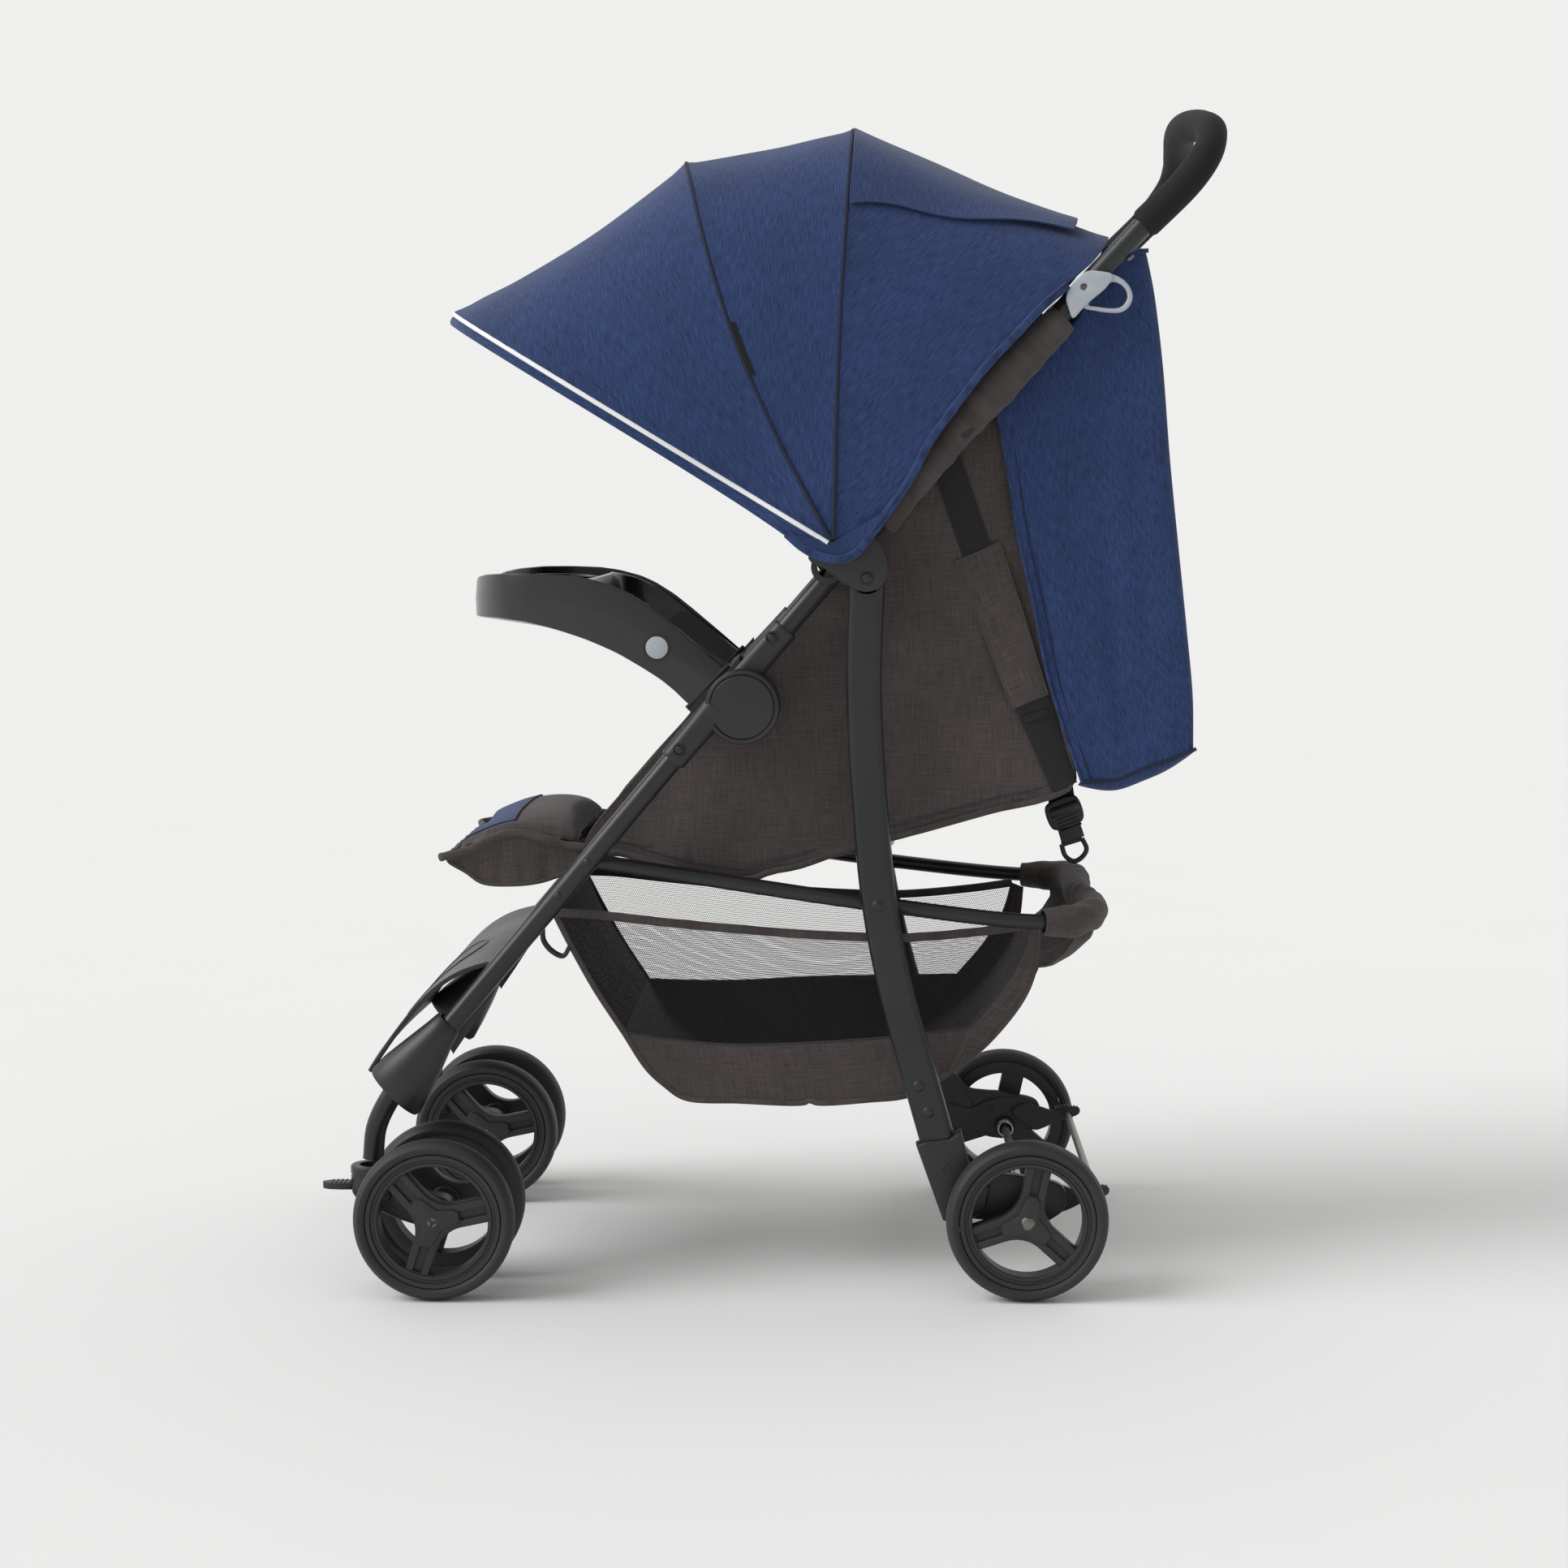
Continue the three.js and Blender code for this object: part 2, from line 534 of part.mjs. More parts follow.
add('canopy_rear_panel', canopyPanel(BOWS.rear, BOWS.back, 0.02), BLUE());
add('canopy_mid_panel', canopyPanel(BOWS.back, BOWS.middle, 0.03), BLUE());
add('canopy_front_panel', canopyPanel(BOWS.middle, BOWS.front, 0.02), BLUE());
function bowRod(bow, inset) {
  const points = [];
  const STEPS = 16;
  for (let i = 0; i <= STEPS; i += 1) {
    points.push(bowPoint(bow, i / STEPS, inset));
  }
  return swept(ringShape(BOW_R, 6), points, 22);
}
add('canopy_bow_back', bowRod(BOWS.back, 26), PLASTIC());
add('canopy_bow_middle', bowRod(BOWS.middle, 19), PLASTIC());
add('canopy_bow_front', bowRod({ ...BOWS.front, angle: 146 }, 12), PLASTIC());

// ---- back drape: three-sided cover hanging behind the backrest ----
const DRAPE_HALF = 162;
const DRAPE_SIDE = outline([
  [76, 925], [106, 915], [129, 727], [151, 523], [151, 487], [98, 461], [56, 457],
  [28, 531], [6, 618], [-6, 727], [14, 822], [40, 862],
]);
const drapeRoom = outline([
  [60, 960], [101, 914], [125, 727], [147, 523], [146, 440], [40, 440], [-60, 531], [-60, 900],
]);
const drapeBody = plate(DRAPE_SIDE, -DRAPE_HALF, DRAPE_HALF);
const drapeInside = plate(drapeRoom, -(DRAPE_HALF - CLOTH), DRAPE_HALF - CLOTH);
add('back_drape', cut(drapeBody, drapeInside), BLUE());

// ---- basket ----
const BASKET_HALF = 155;
const basketOuter = outline([
  [-408, 334], [-268, 331], [-99, 324], [36, 330], [24, 300], [-25, 240], [-69, 197], [-121, 173],
  [-202, 166], [-310, 170], [-343, 189], [-373, 226], [-404, 302],
]);
const basketInner = outline([
  [-403, 345], [34, 345], [28, 322], [20, 302], [-28, 244], [-71, 201], [-122, 177],
  [-202, 170], [-309, 174], [-340, 191], [-369, 228], [-400, 304],
]);
const basketBody = plate(basketOuter, -BASKET_HALF, BASKET_HALF);
const basketRoom = plate(basketInner, -(BASKET_HALF - CLOTH), BASKET_HALF - CLOTH);
add('basket', cut(basketBody, basketRoom), MESH());

// ---- tray ----
const TRAY_TOP = [[-496, 648], [-449, 651], [-398, 647], [-369, 638], [-340, 621], [-304, 590], [-290, 577]];
const TRAY_LOW = [[-325, 541], [-348, 561], [-384, 583], [-428, 599], [-472, 608], [-511, 608]];
const TRAY_MOUTH = { from: -392, half: 140 };
const CUP_YS = [-88, 88];
const CUP = { x: -440, r: 36, wall: 3, floor: 617 };
const TRAY_SKIN = { x: 3, z: 5, wall: 4, under: 30 };
function tray() {
  const side = plate(outline([...TRAY_TOP, ...TRAY_LOW]), -TRAY_HALF, TRAY_HALF);
  const plan = smoothOutline([
    [-514, 0], [-508, -90], [-482, -155], [-420, -180], [-350, -184], [-260, -184],
    [-260, 184], [-350, 184], [-420, 180], [-482, 155], [-508, 90],
  ], 66);
  const mouth = new THREE.BoxGeometry(200, 2 * TRAY_MOUTH.half, 300).translate(TRAY_MOUTH.from + 100, 0, 600);
  const under = TRAY_LOW.map(([x, z]) => [x, z - TRAY_SKIN.under]);
  const skin = TRAY_TOP.map(([x, z]) => [x + TRAY_SKIN.x, z - TRAY_SKIN.z]);
  const wallY = TRAY_HALF - TRAY_SKIN.wall;
  const hollow = plate(outline([...skin, ...under]), -wallY, wallY);
  const body = cut(common(side, slab(plan, 400, 800)), mouth);
  const keep = new THREE.BoxGeometry(102, 240, 200).translate(-446, 0, 600);
  const well = (y, z, radius) => rod(v3(CUP.x, y, z), v3(CUP.x, y, 700), radius, 28);
  const wellRooms = CUP_YS.map((y) => well(y, CUP.floor - CUP.wall, CUP.r + CUP.wall));
  const pocket = cut(common(hollow, keep), ...wellRooms);
  return cut(body, pocket, ...CUP_YS.map((y) => well(y, CUP.floor, CUP.r)));
}
const BUTTON = { x: -333, z: 584, r: 10.3, innerY: 182, outerY: 187.5, play: 0.5, travel: 4 };
const buttonRoom = SIDES.map(([, s]) => (
  rodY(BUTTON.x, BUTTON.z, s * (BUTTON.innerY - BUTTON.travel), s * FAR_Y, BUTTON.r + BUTTON.play, 24)
));
add('tray', cut(tray(), ...buttonRoom), PLASTIC());
for (const [label, side] of SIDES) {
  const button = rodY(BUTTON.x, BUTTON.z, side * BUTTON.innerY, side * BUTTON.outerY, BUTTON.r, 24);
  add(`tray_button_${label}`, button, GREY());
}

export default nodes;
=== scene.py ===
"""Looks of the folding baby stroller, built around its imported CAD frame. Lengths are in millimetres
from the rear axle (x back, y right, z up) and turned into metres of the row frame by at()."""
import math

import bmesh
import bpy
import numpy as np
from mathutils import Matrix, Vector
from mathutils.bvhtree import BVHTree
from mathutils.kdtree import KDTree


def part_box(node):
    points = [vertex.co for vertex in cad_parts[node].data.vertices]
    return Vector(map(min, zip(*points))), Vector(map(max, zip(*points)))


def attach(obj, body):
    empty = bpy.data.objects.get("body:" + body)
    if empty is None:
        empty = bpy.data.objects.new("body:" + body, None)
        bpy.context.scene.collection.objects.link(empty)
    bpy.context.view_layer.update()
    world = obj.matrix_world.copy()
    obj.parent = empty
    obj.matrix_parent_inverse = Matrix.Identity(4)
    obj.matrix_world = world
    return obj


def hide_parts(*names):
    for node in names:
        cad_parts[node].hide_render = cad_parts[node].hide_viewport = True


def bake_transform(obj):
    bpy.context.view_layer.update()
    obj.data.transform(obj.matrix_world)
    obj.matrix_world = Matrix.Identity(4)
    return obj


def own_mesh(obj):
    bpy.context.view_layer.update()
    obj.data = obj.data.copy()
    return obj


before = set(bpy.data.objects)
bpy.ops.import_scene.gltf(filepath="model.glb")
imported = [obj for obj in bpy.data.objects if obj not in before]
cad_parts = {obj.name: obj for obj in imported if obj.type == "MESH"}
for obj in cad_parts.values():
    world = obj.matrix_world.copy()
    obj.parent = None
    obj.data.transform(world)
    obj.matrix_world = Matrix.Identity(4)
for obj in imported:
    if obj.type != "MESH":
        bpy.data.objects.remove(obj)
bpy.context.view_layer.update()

MM = 0.001
SIDES = (("left", -1), ("right", 1))


def middle_of(node):
    low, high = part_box(node)
    return (low + high) / 2


AXLE = middle_of("rear_axle")
WHEEL_R = (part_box("rear_left_tyre")[1].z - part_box("rear_left_tyre")[0].z) / 2 / MM


def at(x, y, z):
    return Vector((AXLE.x + x * MM, y * MM, z * MM))


def row(points):
    """Millimetre points as an array in the row frame."""
    return np.array(points, float) * MM + np.array([AXLE.x, 0, 0])


# ---------------------------------------------------------------- materials
def material(name, color, roughness, metallic=0.0, sheen=0.0, coat=0.0):
    made = bpy.data.materials.new(name)
    made.use_nodes = True
    shader = made.node_tree.nodes["Principled BSDF"]
    shader.inputs["Base Color"].default_value = (*color, 1)
    shader.inputs["Roughness"].default_value = roughness
    shader.inputs["Metallic"].default_value = metallic
    shader.inputs["Sheen Weight"].default_value = sheen
    shader.inputs["Sheen Roughness"].default_value = 0.5
    shader.inputs["Coat Weight"].default_value = coat
    return made, made.node_tree, shader


def node(tree, kind, **values):
    made = tree.nodes.new(kind)
    for key, value in values.items():
        if key in made.inputs:
            made.inputs[key].default_value = value
        else:
            setattr(made, key, value)
    return made


def coordinates(tree, space, stretch=(1, 1, 1), turn=(0, 0, 0)):
    source = tree.nodes.new("ShaderNodeTexCoord")
    mapping = tree.nodes.new("ShaderNodeMapping")
    mapping.inputs["Scale"].default_value = stretch
    mapping.inputs["Rotation"].default_value = turn
    tree.links.new(source.outputs[space], mapping.inputs["Vector"])
    return mapping.outputs["Vector"]


def noise(tree, vector, scale, detail=2.0, roughness=0.5):
    made = node(tree, "ShaderNodeTexNoise", Scale=scale, Detail=detail, Roughness=roughness)
    tree.links.new(vector, made.inputs["Vector"])
    return made.outputs["Fac"]


def ramp(tree, fac, low, high, first, last):
    """Blends two colours as fac goes from low to high."""
    made = tree.nodes.new("ShaderNodeValToRGB")
    made.color_ramp.elements[0].position = low
    made.color_ramp.elements[1].position = high
    made.color_ramp.elements[0].color = (*first, 1)
    made.color_ramp.elements[1].color = (*last, 1)
    tree.links.new(fac, made.inputs["Fac"])
    return made.outputs["Color"]


def span(tree, fac, low, high, to_low, to_high):
    made = node(tree, "ShaderNodeMapRange")
    for key, value in (("From Min", low), ("From Max", high), ("To Min", to_low), ("To Max", to_high)):
        made.inputs[key].default_value = value
    tree.links.new(fac, made.inputs["Value"])
    return made.outputs["Result"]


def combine(tree, first, second, how, share=1.0):
    made = node(tree, "ShaderNodeMix", data_type="RGBA", blend_type=how)
    made.inputs["Factor"].default_value = share
    tree.links.new(first, made.inputs[6])
    tree.links.new(second, made.inputs[7])
    return made.outputs[2]


def arithmetic(tree, how, first, second):
    made = node(tree, "ShaderNodeMath", operation=how)
    for socket, value in zip(made.inputs, (first, second)):
        if isinstance(value, (int, float)):
            socket.default_value = value
        else:
            tree.links.new(value, socket)
    return made.outputs[0]


def bump(tree, shader, height, strength, distance):
    made = node(tree, "ShaderNodeBump", Strength=strength, Distance=distance)
    tree.links.new(height, made.inputs["Height"])
    tree.links.new(made.outputs["Normal"], shader.inputs["Normal"])


def hard_material(name, color, roughness, grain, metallic=0.0, coat=0.0, spread=0.35, lift=0.06):
    """Moulded or painted surface: fine grain, broad uneven gloss and lighter rubbed patches."""
    made, tree, shader = material(name, color, roughness, metallic, coat=coat)
    where = coordinates(tree, "Object")
    broad = noise(tree, where, 9, 4, 0.6)
    fine = noise(tree, where, grain, 3, 0.6)
    worn = [min(1, c * 1.35 + 0.004) for c in color]
    tone = ramp(tree, broad, 0.35, 0.72, color, worn)
    speck = ramp(tree, fine, 0.3, 0.75, [1 - spread] * 3, [1 + spread * 0.5] * 3)
    tree.links.new(combine(tree, tone, speck, "MULTIPLY", 0.7), shader.inputs["Base Color"])
    tree.links.new(span(tree, broad, 0.3, 0.7, roughness - lift, roughness + lift),
                   shader.inputs["Roughness"])
    bump(tree, shader, fine, 0.25, 0.0002)
    return made


def woven_material(name, dark, light, space, pitch, slub, sheen=0.12, cross=True, stretch=0.07):
    """Cloth of crossing yarns: slubs along both thread directions, tiny weave bump and soft sheen."""
    made, tree, shader = material(name, dark, 0.92, sheen=sheen)
    along = noise(tree, coordinates(tree, space, (1, stretch, stretch)), slub, 3, 0.65)
    across = noise(tree, coordinates(tree, space, (stretch, 1, 1)), slub, 3, 0.65)
    tone = ramp(tree, along, 0.36, 0.66, dark, light)
    if cross:
        tone = combine(tree, tone, ramp(tree, across, 0.36, 0.66, dark, light), "MIX", 0.5)
    broad = noise(tree, coordinates(tree, space), 14, 3, 0.5)
    shade = ramp(tree, broad, 0.3, 0.7, (0.86,) * 3, (1.1,) * 3)
    tree.links.new(combine(tree, tone, shade, "MULTIPLY"), shader.inputs["Base Color"])
    where = coordinates(tree, space)
    checks = node(tree, "ShaderNodeTexChecker", Scale=1 / pitch)
    tree.links.new(where, checks.inputs["Vector"])
    fuzz = noise(tree, where, 900, 2, 0.6)
    bump(tree, shader, arithmetic(tree, "ADD", checks.outputs["Fac"], fuzz), 0.35, 0.0004)
    return made


def net_material(name, color, pitch, open_share):
    """Knitted net: square holes on a grid in the piece's own flat coordinates."""
    made, tree, shader = material(name, color, 0.75)
    where = coordinates(tree, "UV", (1 / pitch, 1 / pitch, 1))
    parts = node(tree, "ShaderNodeSeparateXYZ")
    tree.links.new(where, parts.inputs["Vector"])
    inside = []
    for axis in ("X", "Y"):
        part = arithmetic(tree, "FRACT", parts.outputs[axis], 0.0)
        inside.append(arithmetic(tree, "LESS_THAN", part, math.sqrt(open_share)))
    hole = arithmetic(tree, "MULTIPLY", *inside)
    tree.links.new(arithmetic(tree, "SUBTRACT", 1.0, hole), shader.inputs["Alpha"])
    tone = ramp(tree, noise(tree, where, 0.4, 2), 0.3, 0.7, color, [c * 1.8 for c in color])
    tree.links.new(tone, shader.inputs["Base Color"])
    return made


def webbing_material(name, color):
    """Ribbed webbing: fine ribs across the strap in its flat coordinates."""
    made, tree, shader = material(name, color, 0.75, sheen=0.04)
    where = coordinates(tree, "UV")
    ribs = node(tree, "ShaderNodeTexWave", Scale=260, Distortion=0.6, bands_direction="Y")
    tree.links.new(where, ribs.inputs["Vector"])
    tone = ramp(tree, ribs.outputs["Fac"], 0.1, 0.9, [c * 0.6 for c in color], [c * 1.7 for c in color])
    tree.links.new(tone, shader.inputs["Base Color"])
    bump(tree, shader, ribs.outputs["Fac"], 0.5, 0.0004)
    return made


FRAME = hard_material("painted_tube", (0.0185, 0.0193, 0.0205), 0.33, 1400, metallic=0.25)
PLASTIC = hard_material("moulded_plastic", (0.0135, 0.014, 0.0145), 0.45, 1100)
TRAY_PLASTIC = hard_material("tray_plastic", (0.012, 0.0122, 0.0126), 0.27, 700, coat=0.25, lift=0.03)
GREY = hard_material("grey_plastic", (0.36, 0.39, 0.43), 0.42, 900, spread=0.08)
EVA = hard_material("eva_tyre", (0.02, 0.0203, 0.021), 0.62, 650, spread=0.5, lift=0.12)
RIM = hard_material("rim_plastic", (0.0185, 0.0188, 0.0195), 0.5, 1000)
FOAM = hard_material("handle_foam", (0.0035, 0.0035, 0.0036), 0.86, 800, spread=0.6)
STEEL = hard_material("bright_steel", (0.5, 0.5, 0.52), 0.28, 900, metallic=1.0, spread=0.1)
DARK_STEEL = hard_material("link_rod_steel", (0.16, 0.155, 0.145), 0.38, 900, metallic=0.8, spread=0.1)
BLUE_DARK, BLUE_LIGHT = (0.0095, 0.024, 0.084), (0.026, 0.060, 0.185)
BLUE = woven_material("blue_heather", BLUE_DARK, BLUE_LIGHT, "UV", 0.0009, 760, cross=False, stretch=0.11)
MELANGE_DARK, MELANGE_LIGHT = (0.037, 0.0305, 0.0295), (0.096, 0.079, 0.076)
MELANGE = woven_material("grey_melange", MELANGE_DARK, MELANGE_LIGHT, "UV", 0.0011, 820, stretch=0.045)
PADDING = woven_material("padded_melange", MELANGE_DARK, MELANGE_LIGHT, "Object", 0.0011, 820,
                         stretch=0.045)
NET = net_material("basket_net", (0.009, 0.009, 0.0095), 0.0021, 0.66)
WEBBING = webbing_material("black_webbing", (0.0055, 0.0053, 0.0055))
BINDING = woven_material("dark_binding", (0.0045, 0.0045, 0.005), (0.011, 0.0107, 0.011), "Object",
                         0.0008, 700, 0.03)
REFLECTIVE = hard_material("reflective_piping", (0.86, 0.87, 0.88), 0.35, 1200, spread=0.05)
STITCH = hard_material("stitch_thread", (0.03, 0.032, 0.04), 0.8, 1500, spread=0.3)
BLUE_THREAD = hard_material("blue_thread", (0.005, 0.010, 0.032), 0.8, 1500, spread=0.3)


# ---------------------------------------------------------------- mesh helpers
def piece(name, points, faces, look, crease=32, uv=None, looks=None):
    """A mesh object from millimetre points, smooth except across edges sharper than crease."""
    mesh = bpy.data.meshes.new(name)
    mesh.from_pydata([tuple(p) for p in row(points)], [], [tuple(f) for f in faces])
    return dress(name, mesh, look, crease, uv, looks)


def dress(name, mesh, look, crease=32, uv=None, looks=None, weld=True):
    if uv is not None:
        layer = mesh.uv_layers.new(name="flat")
        for loop in mesh.loops:
            layer.data[loop.index].uv = uv[loop.vertex_index]
    body = bmesh.new()
    body.from_mesh(mesh)
    if weld:
        bmesh.ops.remove_doubles(body, verts=body.verts, dist=1e-6)
    bmesh.ops.recalc_face_normals(body, faces=body.faces)
    body.to_mesh(mesh)
    body.free()
    for one in [look] if looks is None else looks:
        mesh.materials.append(one)
    mesh.shade_smooth()
    mesh.set_sharp_from_angle(angle=math.radians(crease))
    made = bpy.data.objects.new(name, mesh)
    bpy.context.scene.collection.objects.link(made)
    return made


def applied(made, crease=32):
    """The object with its modifiers turned into mesh."""
    bpy.context.view_layer.update()
    graph = bpy.context.evaluated_depsgraph_get()
    mesh = bpy.data.meshes.new_from_object(made.evaluated_get(graph))
    made.modifiers.clear()
    made.data = mesh
    mesh.shade_smooth()
    mesh.set_sharp_from_angle(angle=math.radians(crease))
    return made


def modified(made, kind, crease=32, **values):
    modifier = made.modifiers.new(kind.lower(), kind)
    for key, value in values.items():
        setattr(modifier, key, value)
    return applied(made, crease)


def rounded(made, width, segments=2, angle=30, crease=50):
    return modified(made, "BEVEL", crease, width=width * MM, segments=segments, limit_method="ANGLE",
                    angle_limit=math.radians(angle), harden_normals=False)


def cut_by(made, cutter, crease=32):
    result = modified(made, "BOOLEAN", crease, object=cutter, operation="DIFFERENCE", solver="EXACT")
    bpy.data.objects.remove(cutter)
    return result


def merged(name, parts, crease=None):
    """One object out of several; the first one's name and materials lead."""
    whole = bmesh.new()
    looks = []
    for part in parts:
        offset = len(whole.faces)
        part.data.transform(part.matrix_world)
        whole.from_mesh(part.data)
        whole.faces.ensure_lookup_table()
        for slot in part.data.materials:
            if slot not in looks:
                looks.append(slot)
        places = [looks.index(slot) for slot in part.data.materials]
        for face in whole.faces[offset:]:
            face.material_index = places[min(face.material_index, len(places) - 1)]
    mesh = bpy.data.meshes.new(name)
    whole.to_mesh(mesh)
    whole.free()
    for part in parts:
        bpy.data.objects.remove(part)
    for slot in looks:
        mesh.materials.append(slot)
    made = bpy.data.objects.new(name, mesh)
    bpy.context.scene.collection.objects.link(made)
    if crease is not None:
        mesh.set_sharp_from_angle(angle=math.radians(crease))
    return made


def smooth_path(points, steps, closed=False):
    """Centripetal Catmull-Rom curve through points, spaced evenly along its length."""
    p = np.array(points, float)
    if closed:
        p = np.vstack([p[-1], p, p[0], p[1]])
    else:
        p = np.vstack([2 * p[0] - p[1], p, 2 * p[-1] - p[-2]])
    line = []
    for i in range(1, len(p) - 2):
        knots = [0.0]
        for a, b in zip(p[i - 1:i + 2], p[i:i + 3]):
            knots.append(knots[-1] + max(np.linalg.norm(b - a), 1e-6) ** 0.5)
        for t in np.linspace(knots[1], knots[2], 24, endpoint=False):
            a = [lerp_knot(p[i - 1 + k], p[i + k], knots[k], knots[k + 1], t) for k in range(3)]
            b = [lerp_knot(a[k], a[k + 1], knots[k], knots[k + 2], t) for k in range(2)]
            line.append(lerp_knot(b[0], b[1], knots[1], knots[2], t))
    line.append(p[-2])
    line = np.array(line)
    run = np.concatenate([[0], np.cumsum(np.linalg.norm(np.diff(line, axis=0), axis=1))])
    wanted = np.linspace(0, run[-1], steps + 1)
    return np.stack([np.interp(wanted, run, line[:, k]) for k in range(line.shape[1])], 1)


def lerp_knot(a, b, ta, tb, t):
    return a + (b - a) * ((t - ta) / (tb - ta))


def curve_at(points, t):
    """Points on a smooth line through points, at shares t of its length."""
    line = smooth_path(points, 200)
    return np.stack([np.interp(t, np.linspace(0, 1, 201), line[:, k]) for k in range(line.shape[1])], 1)


def full_turn(count):
    """Evenly spaced angles once round."""
    return np.linspace(0, 2 * math.pi, count, False)


def in_plane(line, y=0):
    """(x, z) points set at one y."""
    return [(x, y, z) for x, z in line]


def circle(radius, sides=20):
    return [(radius * math.cos(a), radius * math.sin(a)) for a in full_turn(sides)]


def stadium(width, depth, corner, sides=6):
    """Rounded rectangle: width along the first axis."""
    points = []
    for quarter in range(4):
        sx, sy = ((1, 1), (-1, 1), (-1, -1), (1, -1))[quarter]
        for a in np.linspace(quarter * math.pi / 2, (quarter + 1) * math.pi / 2, sides):
            points.append((sx * (width / 2 - corner) + corner * math.cos(a),
                           sy * (depth / 2 - corner) + corner * math.sin(a)))
    return points


def sweep(name, line, section, look, scale=None, side=None, closed=False, crease=32, uv=False):
    """A section carried along a line of millimetre points; side, if given, is its second axis."""
    line = np.array(line, float)
    count = len(line)
    tangents = np.gradient(line, axis=0)
    if closed:
        tangents = np.roll(line, -1, 0) - np.roll(line, 1, 0)
    tangents /= np.linalg.norm(tangents, axis=1)[:, None]
    across = np.array(side if side is not None else (0, 1, 0), float)
    if side is None and abs(tangents[0] @ across) > 0.9:
        across = np.array((0, 0, 1.0))
    points, flat, travelled = [], [], 0.0
    for i in range(count):
        if side is None and i:
            turn = Vector(tangents[i - 1]).rotation_difference(Vector(tangents[i]))
            across = np.array(turn @ Vector(across))
        second = across - tangents[i] * (across @ tangents[i])
        second /= np.linalg.norm(second)
        first = np.cross(second, tangents[i])
        grow = 1.0 if scale is None else scale[i]
        if i:
            travelled += np.linalg.norm(line[i] - line[i - 1])
        for k, (a, b) in enumerate(section):
            points.append(line[i] + (first * a + second * b) * grow)
            flat.append((b * MM if uv else k / len(section), travelled * MM))
    n = len(section)
    faces = []
    for i in range(count if closed else count - 1):
        j = (i + 1) % count
        for k in range(n):
            m = (k + 1) % n
            faces.append((i * n + k, i * n + m, j * n + m, j * n + k))
    if not closed:
        faces += [list(range(n))[::-1], [(count - 1) * n + k for k in range(n)]]
    return piece(name, points, faces, look, crease, flat)


def lathe(name, profile, centre, look, steps=48, axis="Y", crease=32):
    """Turns a closed profile of (radius, height) about an axis through centre."""
    points, faces = [], []
    n = len(profile)
    for i in range(steps):
        a = 2 * math.pi * i / steps
        for r, h in profile:
            spot = {"Y": (r * math.cos(a), h, r * math.sin(a)),
                    "Z": (r * math.cos(a), r * math.sin(a), h)}[axis]
            points.append([c + s for c, s in zip(centre, spot)])
    for i in range(steps):
        j = (i + 1) % steps
        for k in range(n):
            m = (k + 1) % n
            faces.append((i * n + k, i * n + m, j * n + m, j * n + k))
    return piece(name, points, faces, look, crease)


def plate(name, loops, y0, y1, look, edge=0.8, crease=32):
    """A flat part cut to X-Z outlines, holes included, with rounded rims, between two Y positions."""
    low, high = min(y0, y1), max(y0, y1)
    curve = bpy.data.curves.new(name, "CURVE")
    curve.dimensions = "2D"
    curve.fill_mode = "BOTH"
    curve.extrude = (high - low) / 2 - edge
    curve.bevel_depth = edge
    curve.bevel_resolution = 2
    curve.offset = -edge
    for loop in loops:
        spline = curve.splines.new("POLY")
        spline.points.add(len(loop) - 1)
        for point, (x, z) in zip(spline.points, loop):
            point.co = (x, z, 0, 1)
        spline.use_cyclic_u = True
    shape = bpy.data.objects.new(name, curve)
    mesh = bpy.data.meshes.new_from_object(shape)
    bpy.data.objects.remove(shape)
    co = np.zeros(len(mesh.vertices) * 3)
    mesh.vertices.foreach_get("co", co)
    co = co.reshape(-1, 3)
    placed = row(np.stack([co[:, 0], (low + high) / 2 - co[:, 2], co[:, 1]], 1))
    mesh.vertices.foreach_set("co", placed.ravel())
    mesh.materials.clear()
    return dress(name, mesh, look, crease)


def loop_of(points, count=48):
    """A closed smooth outline through a few points."""
    return [tuple(p) for p in smooth_path(points, count, closed=True)[:-1]]


def grid(name, rows, look, flat=None, wrap=False, crease=60, looks=None, thickness=0.0):
    """A sheet through rows of points; flat coordinates follow its own lengths."""
    pts = np.array(rows, float)
    nv, nu = pts.shape[:2]
    if flat is None:
        du = np.linalg.norm(np.diff(pts, axis=1), axis=2)
        dv = np.linalg.norm(np.diff(pts, axis=0), axis=2)
        u = np.concatenate([np.zeros((nv, 1)), np.cumsum(du, 1)], 1)
        v = np.concatenate([np.zeros((1, nu)), np.cumsum(dv, 0)], 0)
        flat = np.stack([u * MM, v * MM], 2)
    faces = []
    for j in range(nv - 1):
        for i in range(nu if wrap else nu - 1):
            k = (i + 1) % nu
            faces.append((j * nu + i, j * nu + k, (j + 1) * nu + k, (j + 1) * nu + i))
    made = piece(name, pts.reshape(-1, 3), faces, look, crease, flat.reshape(-1, 2), looks)
    if thickness:
        modified(made, "SOLIDIFY", crease, thickness=thickness * MM, offset=0)
    return made


def rivet(name, x, z, y, side, radius, look, rise=2.0):
    """Domed rivet head on a face at y, facing outward to side."""
    dome = [(0.01, rise), (radius * 0.45, rise * 0.92), (radius * 0.8, rise * 0.6), (radius, rise * 0.15),
            (radius * 1.02, 0), (0.01, 0)]
    return lathe(name, [(r, side * h) for r, h in dome], (x, y, z), look, 24)


def carry(body, *objects):
    for one in objects:
        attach(one, body)


# ---------------------------------------------------------------- camera, light, floor
CAMERA_AT = (0.0782, -2.8602, 0.7112)
PITCH, YAW = 5.33, 1.39
LENS, SENSOR = 68.63, 36.0
BACKGROUND = (0.868, 0.868, 0.855)


